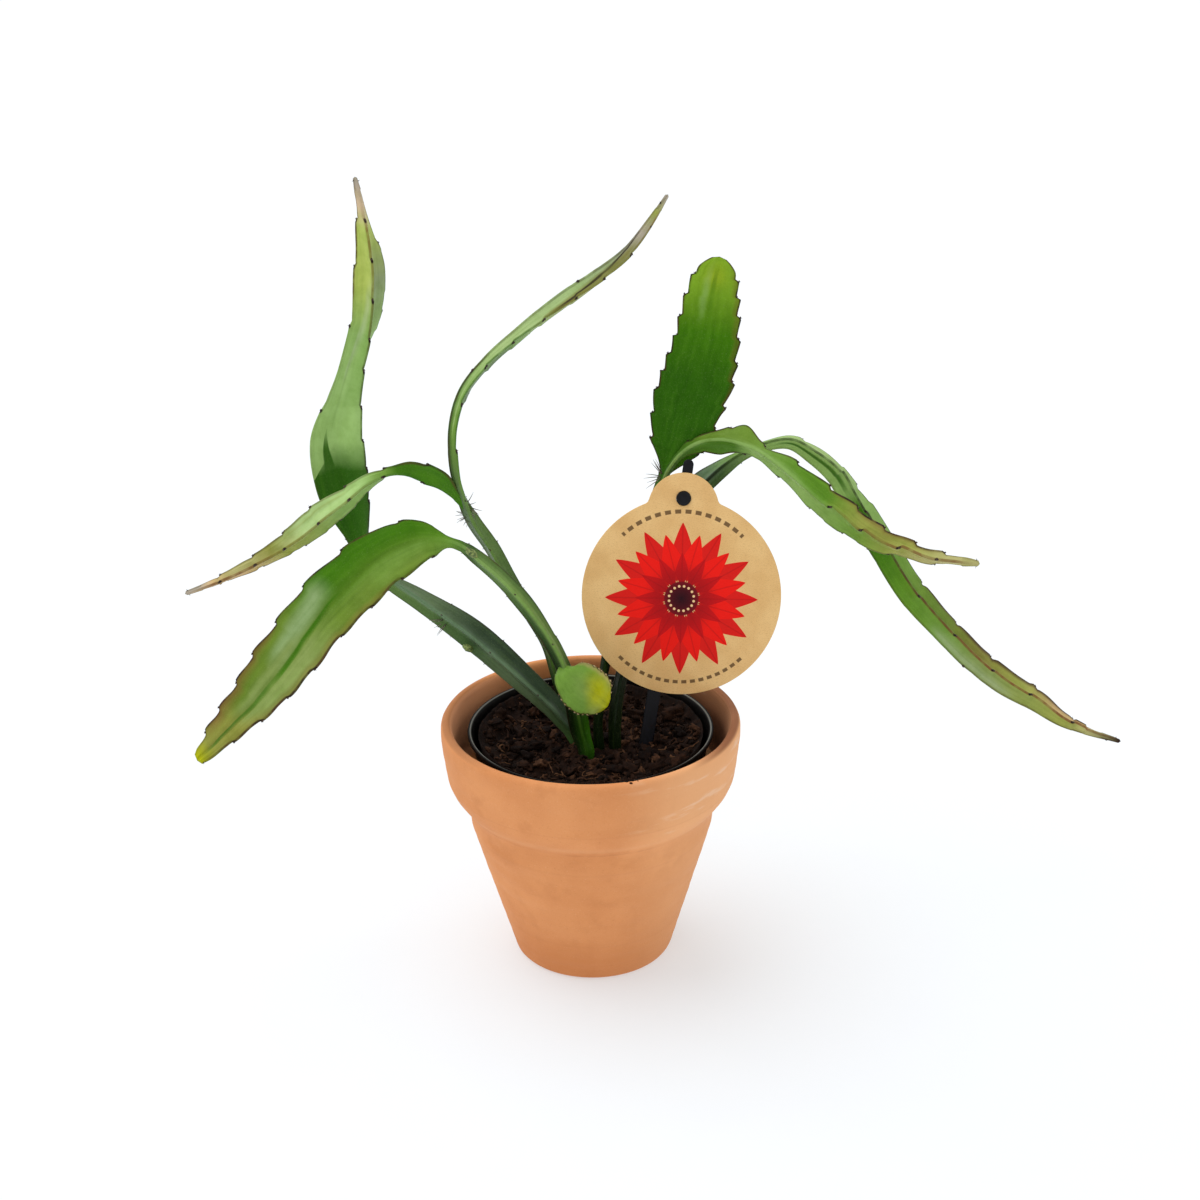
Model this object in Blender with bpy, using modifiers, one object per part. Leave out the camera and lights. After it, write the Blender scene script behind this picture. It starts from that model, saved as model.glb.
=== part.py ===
"""Potted orchid cactus: five rooted stems with crenate leaves, in a nursery pot inside a clay pot.

Metres, +Z up, the pot stands on z = 0. The origin lies under the middle of the whole plant's width,
so the pot's own axis is at POT_AXIS. Every other place below is measured from that axis, in
millimetres, with +X to the right and +Y to the back.
"""
import math

import bmesh
import bpy
import numpy as np
from mathutils import Matrix, Vector

NAME = "Potted_Orchid_Cactus"
MM = 0.001
GAP = 0.3                      # between pieces that touch
POT_AXIS = (-35.0, 0.0, 0.0)

# Clay pot, a 13 cm one.
CLAY_HEIGHT = 112.0
CLAY_RIM_R = 65.0
CLAY_LIP_R = 60.0
CLAY_COLLAR_LOW_R = 62.8
CLAY_COLLAR_LOW_Z = 87.0
CLAY_BODY_TOP_R = 52.6
CLAY_BODY_TOP_Z = 71.0
CLAY_BASE_R = 35.3
CLAY_WALL = 5.2
CLAY_FLOOR = 9.0
CLAY_HOLE_R = 10.0
CLAY_SIDES = 56

# Nursery pot, a low 10.5 cm one, wedged in the clay pot by its bottom edge.
NURSERY_RIM_R = 53.5
NURSERY_RIM_Z = 107.0
NURSERY_BASE_Z = 28.0
NURSERY_WALL = 1.0
NURSERY_BEAD = 2.2
NURSERY_SIDES = 48
DRAIN_HOLE_R = 3.0
DRAIN_RING_R = 24.0
DRAIN_HOLES = 6

# Potting soil.
SOIL_TOP = 97.0
SOIL_MOUND = 1.5
SOIL_LUMPS = 2.6
SOIL_LUMP_SIZE = 7.0
SOIL_RINGS = 8
SOIL_SIDES = 44
ROOT_DEPTH = 30.0
HOLE_ABOVE = 12.0              # how far a hole's cutter stands above the soil

# Leaf blades and ribs.
EDGE = 0.9                     # thickness at a margin
CORE = 2.9                     # thickness beside the midrib
FOLD = 30.0                    # how far the two wings bend back from a full ridge, degrees
COLLAR = 2.5                   # straight neck above the soil
ROUND_OUT = 9.0                # length over which the round root takes its ribs
STEM_STEP = 6.0                # between the rings of a stem
LOBE_STEPS = (0.0, 0.34, 0.5, 0.84)
LOBE_PEAK = 0.86               # where a lobe of the margin ends in its tooth
FRONT = Vector((0.0, -0.92, 0.39))
BRISTLE = 4.5                  # how far a bristle stands out
BRISTLE_R = 0.35
BRISTLE_FAN = (-50.0, -18.0, 14.0, 46.0)

# Card tag on its plastic stick. Both lean back together.
TAG_LEAN = 15.0                # degrees
STICK_FOOT = (23.8, -2.0)      # where the stick enters the soil
STICK_TILT = 9.0               # sideways, degrees
STICK_WIDE = 6.0
STICK_NARROW = 4.4
STICK_THICK = 2.4
STICK_HEIGHT = 127.2
STICK_DEPTH = 34.0
STICK_POINT = 8.0
PEG_UP = 110.5
PEG_R = 2.9
PEG_OUT = 2.2
TAG_R = 42.9
TAG_EAR_R = 15.2
TAG_EAR_UP = 38.0
TAG_HOLE_UP = 42.2
TAG_HOLE_R = 3.2
TAG_THICK = 1.0
TAG_FILLET = 3.0
TAG_TURN = 1.7                 # in its own plane, clockwise, degrees

# Each leafy stem is a route of rows: x, y, z, then the lengths of its left wing, right wing and
# ridge, then its turn in degrees. A turn of 0 shows the ridge to the front, seen tip up.
ROOTS = {
    "left_low": (-7.0, 2.0, 3.6),
    "left_front": (-2.0, -9.5, 3.6),
    "left_back": (-9.5, 15.0, 3.2),
    "right_back": (3.5, -3.0, 2.4),
    "right_far": (10.5, -2.0, 2.8),
}
STEM_LEFT_LOW = [
    (-13, 5, 109, 5.0, 5.0, 4.6, -4),
    (-31, 12, 126, 6.8, 6.4, 5.4, -6),
    (-52, 22, 142, 7.2, 6.8, 5.4, -8),
    (-75, 32, 155, 4.8, 4.6, 4.0, 0),
    (-90, 38, 163, 3.4, 3.2, 3.0, 20),
    (-99, 42, 170, 2.6, 2.6, 2.6, 45),
]
LEAF_TALL_LEFT = [
    (-102.5, 45, 181, 6.0, 5.4, 7.2, 60),
    (-104.5, 48, 193, 12.4, 6.2, 10.6, 60),
    (-106.5, 51, 208, 13.4, 6.8, 12.6, 60),
    (-107.5, 53, 222, 12.0, 7.0, 12.2, 60),
    (-105.5, 54, 237, 8.6, 7.0, 10.0, 60),
    (-101, 54, 253, 6.0, 7.6, 7.6, 54),
    (-95.5, 54, 268, 6.2, 8.6, 6.6, 42),
    (-91.5, 52, 284, 7.4, 8.6, 6.2, 26),
    (-90.5, 50, 300, 6.4, 8.2, 6.0, 22),
    (-91.5, 48, 315, 3.6, 5.0, 4.8, 24),
    (-92.5, 47, 327, 1.8, 2.2, 2.2, 28),
    (-93.5, 45, 337, 0.9, 0.9, 0.9, 30),
]
STEM_LEFT_FRONT = [
    (-4, -8, 107, 4.6, 5.2, 4.4, 8),
    (-7, -9, 124, 4.2, 4.2, 3.6, 10),
    (-12, -9, 142, 3.4, 3.4, 3.0, 10),
    (-18, -10, 155, 3.4, 3.6, 3.0, 8),
    (-27, -11, 170, 3.8, 4.0, 3.0, 0),
    (-37, -12, 183, 3.8, 3.8, 3.0, -8),
    (-46, -13, 192, 3.2, 3.4, 2.6, -6),
]
LEAF_BROAD_LEFT = [
    (-51, -14, 197, 2.6, 2.6, 2.2, 4),
    (-57, -15, 200, 2.6, 2.6, 1.8, 10),
    (-66, -17, 201, 8.4, 8.0, 1.4, 18),
    (-75, -19, 199, 12.0, 11.4, 1.1, 20),
    (-85, -21, 194, 14.4, 13.2, 1.0, 20),
    (-97, -25, 184, 14.8, 15.2, 1.0, 20),
    (-110, -29, 171, 13.8, 15.2, 1.0, 20),
    (-119, -32, 159, 12.2, 15.0, 1.0, 20),
    (-128, -35, 148, 10.5, 14.4, 1.0, 20),
    (-138, -38, 137, 7.9, 11.8, 1.0, 20),
    (-146, -41, 130, 5.9, 9.4, 1.0, 20),
    (-154, -44, 123, 4.4, 6.4, 1.0, 20),
    (-161, -46, 117, 2.0, 2.6, 1.0, 20),
]
STEM_LEFT_BACK = [
    (-11, 15.5, 110, 3.6, 3.6, 3.4, -10),
    (-14.5, 14, 125, 3.4, 3.4, 3.2, -10),
    (-18.5, 11, 142, 3.4, 3.4, 3.2, -10),
    (-25.5, 8.5, 157, 3.4, 3.4, 3.2, -10),
    (-34, 6, 174, 3.4, 3.6, 3.2, -10),
    (-41, 5, 189, 3.2, 3.6, 3.0, -10),
    (-48, 3, 202, 3.0, 3.2, 2.8, 0),
]
LEAF_SLENDER = [
    (-52, 2, 213, 2.2, 2.4, 2.2, 30),
    (-55, 3, 228, 2.4, 4.0, 2.6, 58),
    (-55, 5, 242, 1.9, 6.0, 2.6, 60),
    (-51, 8, 256, 1.6, 7.6, 2.8, 60),
    (-41, 14, 268, 1.6, 9.0, 3.0, 60),
    (-27, 23, 278, 1.7, 9.6, 3.2, 60),
    (-9, 34, 288, 2.0, 9.6, 3.4, 60),
    (5, 43, 295, 2.8, 8.0, 3.7, 60),
    (18.5, 51, 304, 2.6, 5.6, 3.2, 60),
    (28.5, 57, 316, 1.3, 3.0, 2.0, 60),
    (35, 60, 325, 0.9, 0.9, 0.9, 60),
]
LEAF_ARCH_LEFT = [
    (-49, 3, 206, 2.0, 2.0, 1.6, -60),
    (-55, 1, 215, 2.4, 2.4, 2.4, -60),
    (-61, -1, 222, 3.6, 4.8, 4.4, -60),
    (-67, -2, 225, 3.8, 5.2, 4.8, -60),
    (-73, -3, 227, 3.8, 4.0, 3.6, -58),
    (-81, -5, 227, 3.4, 2.4, 2.4, -46),
    (-89, -6, 224, 4.6, 3.0, 3.6, -30),
    (-99, -8, 217, 6.6, 4.5, 5.0, -25),
    (-110, -9, 209, 7.8, 6.2, 5.4, -25),
    (-119, -11, 202, 6.6, 5.8, 5.0, -25),
    (-130, -12, 195, 5.0, 4.2, 4.0, -25),
    (-142, -14, 189, 3.6, 3.0, 3.0, -25),
    (-155, -15, 183, 2.0, 1.8, 2.0, -25),
    (-166, -16, 179, 0.9, 0.9, 0.9, -25),
]
STEM_RIGHT_BACK = [
    (3.2, -2, 108, 2.5, 2.5, 2.4, 0),
    (4.8, 5, 121, 2.6, 2.6, 2.4, 0),
    (9, 14.5, 142, 2.6, 2.6, 2.4, 0),
    (16.5, 25, 167, 2.6, 2.6, 2.4, 0),
    (25, 34, 190, 2.6, 2.6, 2.4, 0),
    (31, 40, 202, 2.6, 2.6, 2.4, 0),
]
LEAF_UPRIGHT = [
    (34, 41, 209, 3.4, 2.8, 2.0, 0),
    (37, 41, 216, 8.8, 7.2, 1.6, 0),
    (39.5, 42, 223, 13.2, 11.5, 1.5, 0),
    (42.5, 43, 232, 15.4, 13.9, 1.5, 0),
    (44.5, 44, 240, 16.1, 15.2, 1.5, 0),
    (47.5, 45, 249, 16.2, 15.8, 1.5, 0),
    (49.5, 46, 257, 15.4, 15.4, 1.5, 0),
    (51.5, 47, 266, 14.2, 14.2, 1.5, 0),
    (52.5, 48, 274, 13.2, 13.2, 1.5, 0),
    (53.5, 49, 282, 12.0, 12.0, 1.4, 0),
    (54.5, 50, 291, 10.0, 10.0, 1.3, 0),
    (55.5, 50, 296, 7.6, 7.6, 1.1, 0),
    (56.5, 51, 300, 4.0, 4.0, 0.9, 0),
]
LEAF_ARCH_RIGHT = [
    (32, 40, 204, 1.8, 1.8, 1.6, 0),
    (35.5, 40, 211, 2.0, 2.0, 2.2, 0),
    (40.5, 39, 218, 2.8, 2.8, 2.6, 0),
    (47.5, 38, 223, 3.8, 5.0, 2.8, 0),
    (57.5, 36, 225, 5.2, 6.6, 2.8, 0),
    (65.5, 33.5, 224, 7.4, 4.2, 2.8, 2),
    (72.5, 31, 222, 6.4, 4.0, 3.0, 6),
    (83.5, 25, 216, 6.0, 5.8, 3.6, 15),
    (92.5, 20, 210, 6.4, 7.4, 4.2, 20),
    (100.5, 16, 204, 6.8, 8.4, 4.5, 22),
    (108.5, 12, 199, 6.8, 8.4, 4.5, 22),
    (115.5, 9, 194, 6.0, 7.4, 4.2, 22),
    (124.5, 4, 190, 4.8, 6.4, 3.6, 22),
    (132.5, 1, 188, 3.6, 5.2, 3.0, 22),
    (142.5, -4, 186, 2.7, 4.0, 2.4, 22),
    (152.5, -8, 186, 1.8, 2.6, 1.8, 22),
    (161.5, -12, 186, 0.9, 0.9, 0.9, 22),
]
STEM_RIGHT_FAR = [
    (10.5, -1, 108, 3.2, 3.2, 3.0, 0),
    (12, 5, 120, 3.2, 3.2, 3.0, 0),
    (20, 19, 144, 3.2, 3.2, 3.0, 0),
    (30, 31, 169, 3.2, 3.2, 3.0, 0),
    (40, 40, 188, 3.2, 3.2, 3.0, 0),
    (49, 44, 200, 3.6, 3.6, 3.2, 0),
    (58.5, 47, 208, 3.2, 3.2, 3.0, -8),
]
LEAF_LONG_RIGHT = [
    (67.5, 49, 213.5, 3.0, 2.8, 3.0, -14),
    (77.5, 50, 217.5, 3.0, 2.8, 3.0, -18),
    (88.5, 50, 219, 3.6, 3.4, 3.2, -20),
    (99.5, 49, 213, 5.4, 4.4, 4.0, -20),
    (109, 47, 205, 7.0, 4.8, 4.6, -22),
    (115.5, 45, 194, 8.6, 4.8, 5.0, -24),
    (124.5, 43, 179, 10.6, 4.8, 5.0, -26),
    (133.5, 40, 164, 11.2, 5.0, 5.0, -26),
    (142.5, 37, 151, 11.6, 5.0, 5.0, -26),
    (156, 34, 136, 11.2, 4.8, 5.0, -26),
    (169, 31, 123, 11.0, 4.7, 5.0, -26),
    (183, 28, 112, 10.2, 4.3, 4.6, -26),
    (199, 25, 103, 8.4, 3.6, 4.0, -26),
    (211, 23, 95, 6.4, 2.9, 3.2, -26),
    (221, 21, 91, 3.4, 2.0, 2.2, -26),
    (236, 18, 87, 0.9, 0.9, 0.9, -26),
]
PAD_YOUNG = [
    (-12, -9.5, 140, 1.6, 1.6, 1.0, 0),
    (-10, -13, 138, 6.2, 6.2, 1.0, 0),
    (-6, -14, 135, 9.8, 9.8, 1.0, 0),
    (-2, -15, 132, 10.8, 10.8, 1.0, 0),
    (2, -15.5, 129, 10.0, 10.0, 1.0, 0),
    (5, -16, 126.5, 7.0, 7.0, 1.0, 0),
    (7, -16, 125, 3.0, 3.0, 0.9, 0),
]
# Bristle tufts: a point on a stem's axis, the way they stand out in degrees from +X towards +Z, and
# how thick the stem is there.
TUFTS = {
    "stem_left_low": [(-61, 26, 147.5, 225, 6.4)],
    "stem_left_back": [(-50.5, 2.5, 209, 15, 2.6), (-49, 3, 204.5, 205, 2.8)],
    "stem_right_back": [(33, 40.5, 207, 165, 2.6)],
}
# Lobes of a leaf's margin: tooth depth, side-to-side wave, first and last lobe, channel in degrees.
LEAF_EDGES = {
    "tall_left": (1.0, 0.5, 20.0, 9.0, 0.0),
    "broad_left": (1.5, 0.6, 20.0, 9.0, 15.0),
    "slender": (0.5, 0.3, 18.0, 12.0, 0.0),
    "arch_left": (0.8, 0.4, 18.0, 12.0, 0.0),
    "upright": (1.7, 0.3, 13.0, 8.0, 0.0),
    "arch_right": (0.9, 0.4, 18.0, 12.0, 0.0),
    "long_right": (0.9, 0.4, 21.0, 13.0, 0.0),
    "pad": (0.6, 0.1, 4.5, 3.5, 0.0),
}


def clear_scene():
    for item in list(bpy.data.objects):
        bpy.data.objects.remove(item, do_unlink=True)


def new_collection(name):
    made = bpy.data.collections.new(name)
    bpy.context.scene.collection.children.link(made)
    return made


def material(name, colour, roughness, metallic=0.0):
    made = bpy.data.materials.new(name)
    made.use_nodes = True
    made.diffuse_color = (*colour, 1.0)
    shader = made.node_tree.nodes["Principled BSDF"]
    shader.inputs["Base Color"].default_value = (*colour, 1.0)
    shader.inputs["Roughness"].default_value = roughness
    shader.inputs["Metallic"].default_value = metallic
    return made


def add_object(name, data, collection, parent=None, finish=None):
    made = bpy.data.objects.new(name, data)
    collection.objects.link(made)
    made.parent = parent
    if finish:
        data.materials.append(finish)
    return made


def smooth_shade(item, angle=40.0):
    item.data.shade_smooth()
    item.data.set_sharp_from_angle(angle=math.radians(angle))


def turned(name, profile, sides, collection, parent, finish):
    """Turns a closed profile of (radius, height) points, outer side first, top to bottom."""
    mesh = bpy.data.meshes.new(name)
    points = [(r * MM, 0.0, z * MM) for r, z in profile]
    edges = [(i, (i + 1) % len(points)) for i in range(len(points))]
    mesh.from_pydata(points, edges, [])
    made = add_object(name, mesh, collection, parent, finish)
    screw = made.modifiers.new("turn", "SCREW")
    screw.steps = sides
    screw.render_steps = sides
    screw.use_merge_vertices = True
    screw.merge_threshold = 0.00005
    return made


def applied(item):
    """Keeps an object's evaluated mesh and drops its modifiers."""
    bpy.context.view_layer.update()
    graph = bpy.context.evaluated_depsgraph_get()
    mesh = bpy.data.meshes.new_from_object(item.evaluated_get(graph))
    item.modifiers.clear()
    item.data = mesh
    return item


def cut(item, cutters):
    tool = item.modifiers.new("cut", "BOOLEAN")
    tool.operation = "DIFFERENCE"
    tool.solver = "EXACT"
    tool.operand_type = "COLLECTION"
    tool.collection = cutters
    return item


def cutter(name, mesh, collection, parent):
    made = add_object(name, mesh, collection, parent)
    made.hide_render = True
    made.display_type = "WIRE"
    return made


def cylinder_mesh(name, radius, low, high, sides=24, x=0.0, y=0.0):
    made = bmesh.new()
    bmesh.ops.create_cone(made, cap_ends=True, segments=sides, radius1=radius * MM, radius2=radius * MM,
                          depth=(high - low) * MM,
                          matrix=Matrix.Translation(Vector((x, y, (low + high) / 2)) * MM))
    mesh = bpy.data.meshes.new(name)
    made.to_mesh(mesh)
    made.free()
    return mesh


def clay_inner_r(z):
    """Inner radius of the clay pot's straight body at a height."""
    along = (z - CLAY_FLOOR) / (CLAY_BODY_TOP_Z - CLAY_FLOOR)
    low = CLAY_BASE_R + 1.1 - CLAY_WALL
    return low + (CLAY_BODY_TOP_R - CLAY_WALL - low) * along


def clay_profile():
    """Lip, soft collar, straight body, foot, drain hole, floor and inner wall."""
    lip = CLAY_RIM_R
    collar = CLAY_COLLAR_LOW_R
    body = CLAY_BODY_TOP_R
    base = CLAY_BASE_R
    outer = [
        (lip - 2.6, CLAY_HEIGHT), (lip - 0.9, CLAY_HEIGHT - 0.6), (lip, CLAY_HEIGHT - 2.2),
        (lip, CLAY_HEIGHT - 8.0), (collar, CLAY_COLLAR_LOW_Z),
        (collar - 1.7, CLAY_COLLAR_LOW_Z - 4.6), (collar - 4.2, CLAY_COLLAR_LOW_Z - 8.2),
        (body + 2.8, CLAY_BODY_TOP_Z + 4.2), (body + 0.9, CLAY_BODY_TOP_Z + 1.4),
        (body, CLAY_BODY_TOP_Z - 2.0),
        (base + 0.5, 3.0), (base - 0.3, 1.0), (base - 1.8, 0.0),
    ]
    inner = [
        (CLAY_HOLE_R, 0.0), (CLAY_HOLE_R, CLAY_FLOOR),
        (clay_inner_r(CLAY_FLOOR) - 2.5, CLAY_FLOOR), (clay_inner_r(CLAY_FLOOR + 3), CLAY_FLOOR + 3),
        (clay_inner_r(CLAY_BODY_TOP_Z), CLAY_BODY_TOP_Z),
        (CLAY_LIP_R - 3.0, CLAY_COLLAR_LOW_Z + 2.0), (CLAY_LIP_R, CLAY_HEIGHT - 3.0),
        (CLAY_LIP_R + 0.9, CLAY_HEIGHT - 0.7),
    ]
    return outer + inner


def clay_pot(parts, parent):
    finish = material("terracotta", (0.66, 0.30, 0.14), 0.85)
    made = turned("clay_pot", clay_profile(), CLAY_SIDES, parts, parent, finish)
    smooth_shade(made)
    return made


def nursery_outer_r(z):
    """Outer radius of the nursery pot's wall, which wedges in the clay pot at its base."""
    base = clay_inner_r(NURSERY_BASE_Z) - 1.1 * GAP
    top = NURSERY_RIM_R - 1.0
    return base + (top - base) * (z - NURSERY_BASE_Z) / (NURSERY_RIM_Z - NURSERY_BASE_Z)


def nursery_profile():
    rim = NURSERY_RIM_R
    top = NURSERY_RIM_Z
    bead = top - NURSERY_BEAD
    low = NURSERY_BASE_Z
    wall = NURSERY_WALL
    return [
        (rim - 0.4, top), (rim, top - 0.5), (rim, bead + 0.4), (nursery_outer_r(bead), bead),
        (nursery_outer_r(low + 1.0), low + 1.0), (nursery_outer_r(low) - 1.0, low), (0.0, low),
        (0.0, low + wall), (nursery_outer_r(low + wall) - wall - 0.5, low + wall),
        (nursery_outer_r(bead) - wall, bead), (rim - 1.6, top - 0.3),
    ]


def nursery_pot(parts, cutters, parent):
    finish = material("black_plastic", (0.03, 0.03, 0.032), 0.45)
    made = turned("nursery_pot", nursery_profile(), NURSERY_SIDES, parts, parent, finish)
    for i in range(DRAIN_HOLES):
        angle = 2 * math.pi * i / DRAIN_HOLES
        x = DRAIN_RING_R * math.cos(angle)
        y = DRAIN_RING_R * math.sin(angle)
        low = NURSERY_BASE_Z - 2 * NURSERY_WALL
        high = NURSERY_BASE_Z + 3 * NURSERY_WALL
        hole = cylinder_mesh(f"drain_{i}", DRAIN_HOLE_R, low, high, 12, x, y)
        cutter(hole.name, hole, cutters, parent)
    cut(made, cutters)
    smooth_shade(made)
    return made


def soil_profile():
    """Filled cone inside the nursery pot, with rings on top for its lumps, from the middle outward."""
    low = NURSERY_BASE_Z + NURSERY_WALL + GAP
    inset = NURSERY_WALL + 1.1 * GAP
    foot = nursery_outer_r(low) - inset - 0.6
    rim = nursery_outer_r(SOIL_TOP) - inset - 0.2
    shares = [i / SOIL_RINGS for i in range(SOIL_RINGS + 1)]
    top = [(rim * share, SOIL_TOP + SOIL_MOUND * (1 - share**2)) for share in shares]
    return [*top, (foot, low), (0.0, low)]


def soil(parts, cutters, parent):
    finish = material("potting_soil", (0.035, 0.02, 0.013), 0.95)
    made = turned("potting_soil", soil_profile(), SOIL_SIDES, parts, parent, finish)
    lumps = made.vertex_groups.new(name="lumps")
    for i in range(SOIL_RINGS):
        lumps.add([i], 1.0 - (i / SOIL_RINGS) ** 4, "REPLACE")
    texture = bpy.data.textures.new("lumps", "CLOUDS")
    texture.noise_scale = SOIL_LUMP_SIZE * MM
    relief = made.modifiers.new("lumps", "DISPLACE")
    relief.texture = texture
    relief.texture_coords = "LOCAL"
    relief.direction = "Z"
    relief.strength = SOIL_LUMPS * MM
    relief.mid_level = 0.5
    relief.vertex_group = lumps.name
    low = SOIL_TOP - ROOT_DEPTH - GAP
    for name, (x, y, radius) in ROOTS.items():
        hole = cylinder_mesh(f"hole_{name}", radius + GAP, low, SOIL_TOP + HOLE_ABOVE, 24, x, y)
        cutter(hole.name, hole, cutters, parent)
    cut(made, cutters)
    smooth_shade(made, 60.0)
    return made


def hermite(rows, along, start=None):
    """Reads a smooth curve through rows at distances along them, with its slope."""
    rows = np.asarray(rows, float)
    steps = np.linalg.norm(np.diff(rows[:, :3], axis=0), axis=1)
    knots = np.concatenate([[0.0], np.cumsum(steps)])
    slopes = np.gradient(rows, knots, axis=0)
    if start is not None:
        slopes[0, :3] = start
    at = np.clip(along, 0.0, knots[-1] - 1e-9)
    i = np.searchsorted(knots, at, side="right") - 1
    span = (knots[i + 1] - knots[i])[:, None]
    t = ((at - knots[i])[:, None]) / span
    a, b, ma, mb = rows[i], rows[i + 1], slopes[i] * span, slopes[i + 1] * span
    value = ((2 * t**3 - 3 * t**2 + 1) * a + (t**3 - 2 * t**2 + t) * ma
             + (3 * t**2 - 2 * t**3) * b + (t**3 - t**2) * mb)
    slope = ((6 * t**2 - 6 * t) * a + (3 * t**2 - 4 * t + 1) * ma
             + (6 * t - 6 * t**2) * b + (3 * t**2 - 2 * t) * mb) / span
    return value, slope, knots


def tooth(phase):
    """Height of a lobe's outline, 0 at its notch and 1 at its tooth."""
    phase = phase % 1.0
    if phase < LOBE_PEAK:
        return math.sin(math.pi / 2 * phase / LOBE_PEAK)
    return 1.0 - (phase - LOBE_PEAK) / (1.0 - LOBE_PEAK)


def stations(leaf_from, length, first, last):
    """Distances of the rings: even along the stem, four to each lobe along the leaf."""
    found = []
    if leaf_from > 0:
        count = max(1, round(leaf_from / STEM_STEP))
        found = [(leaf_from * i / count, 0.0, 0.0) for i in range(count)]
    lobes = max(2, round(2 * (length - leaf_from) / (first + last)))
    sizes = np.linspace(first, last, lobes)
    ends = leaf_from + (length - leaf_from) * np.concatenate([[0.0], np.cumsum(sizes)]) / sizes.sum()
    for number, (low, high) in enumerate(zip(ends, ends[1:])):
        for phase in LOBE_STEPS:
            here = low + (high - low) * phase
            fade = min(1.0, number + phase, (lobes - number - phase) * 2)
            found.append((here, phase, fade))
    found.append((length, 0.0, 0.0))
    return found


def section(left, right, ridge, channel):
    """Eleven points of a ribbed leaf's section, across and outward, round from the left margin."""
    bend = math.radians(FOLD * min(1.0, 2 * ridge / (left + right)) * (ridge > CORE / 2 + 0.1) - channel)
    edge = EDGE / 2
    core = min(CORE / 2, 0.55 * (left + right) / 2 + 0.2)
    wing_l = Vector((-math.cos(bend), -math.sin(bend)))
    wing_r = Vector((math.cos(bend), -math.sin(bend)))
    out_l = Vector((-math.sin(bend), math.cos(bend)))
    out_r = Vector((math.sin(bend), math.cos(bend)))
    middle = (edge + core) * 0.55
    root_l = min(0.9 + 0.12 * left, 0.6 * left)
    root_r = min(0.9 + 0.12 * right, 0.6 * right)
    top = max(ridge, 0.5 * core)
    half = min(edge, 0.3 * min(left, right) + 0.1)
    return [
        wing_l * left + out_l * edge, wing_l * left - out_l * edge,
        wing_l * left * 0.5 - out_l * middle, Vector((0.0, -core)), wing_r * right * 0.5 - out_r * middle,
        wing_r * right - out_r * edge, wing_r * right + out_r * edge,
        wing_r * root_r + out_r * core * 0.85, Vector((half, top)), Vector((-half, top)),
        wing_l * root_l + out_l * core * 0.85,
    ]


ROUND_ANGLES = (172, 188, 225, 270, 315, 352, 8, 45, 80, 100, 135)
OUTNESS = (2, 2, 1, 0, 1, 2, 2, 1, 2, 2, 1)


def round_section(radius):
    """The same eleven points on a circle."""
    angles = [math.radians(a) for a in ROUND_ANGLES]
    return [Vector((math.cos(a), math.sin(a))) * radius for a in angles]


def frame_at(slope, turn):
    """Across and outward directions of a section whose route runs along slope."""
    along = Vector(slope).normalized()
    out = (FRONT - along * FRONT.dot(along)).normalized()
    across = along.cross(out)
    angle = math.radians(turn)
    outward = out * math.cos(angle) + across * math.sin(angle)
    return along.cross(outward), outward


def place_ring(made, centre, across, outward, points):
    return [made.verts.new((centre + across * p[0] + outward * p[1]) * MM) for p in points]


def join_rings(made, low, high):
    """Skins two rings with triangles that split a blade alike on both faces."""
    count = len(low)
    for i in range(count):
        j = (i + 1) % count
        if OUTNESS[i] >= OUTNESS[j]:
            made.faces.new((low[i], low[j], high[j]))
            made.faces.new((low[i], high[j], high[i]))
        else:
            made.faces.new((low[i], low[j], high[i]))
            made.faces.new((low[j], high[j], high[i]))


def close_end(made, ring, apex, flip):
    tip = made.verts.new(apex * MM)
    for i in range(len(ring)):
        j = (i + 1) % len(ring)
        pair = (ring[i], ring[j]) if flip else (ring[j], ring[i])
        made.faces.new((*pair, tip))


def leaf_rings(made, rows, leaf_from, edges, collar, root_r):
    """Rings of one stem and leaf, or of one leaf, along its rows."""
    depth, wave, first, last, channel = edges
    start = (0.0, 0.0, 1.0) if collar else None
    knots = hermite(rows, np.array([0.0]), start)[2]
    begin = knots[leaf_from]
    rings = []
    places = stations(begin, knots[-1], first, last)
    values, slopes, _ = hermite(rows, np.array([p[0] for p in places]), start)
    for (here, phase, fade), row, slope in zip(places, values, slopes):
        teeth_l = depth * fade * (1.0 - tooth(phase))
        teeth_r = depth * fade * (1.0 - tooth(phase + 0.5))
        left = max(row[3] - teeth_l, 0.8)
        right = max(row[4] - teeth_r, 0.8)
        points = section(left, right, row[5], channel * min(1.0, max(0.0, (here - begin) / 15.0)))
        sway = wave * fade
        for i, side in ((0, 1), (1, 1), (5, -1), (6, -1)):
            points[i] = points[i] + Vector((0.0, sway * side * math.sin(2 * math.pi * phase)))
        if collar:
            rounding = max(0.0, 1.0 - here / ROUND_OUT)
            points = [p.lerp(q, rounding) for p, q in zip(points, round_section(root_r))]
        across, outward = frame_at(slope[:3], row[6])
        rings.append((Vector(row[:3]), across, outward, points, Vector(slope[:3]).normalized()))
    return rings


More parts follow.
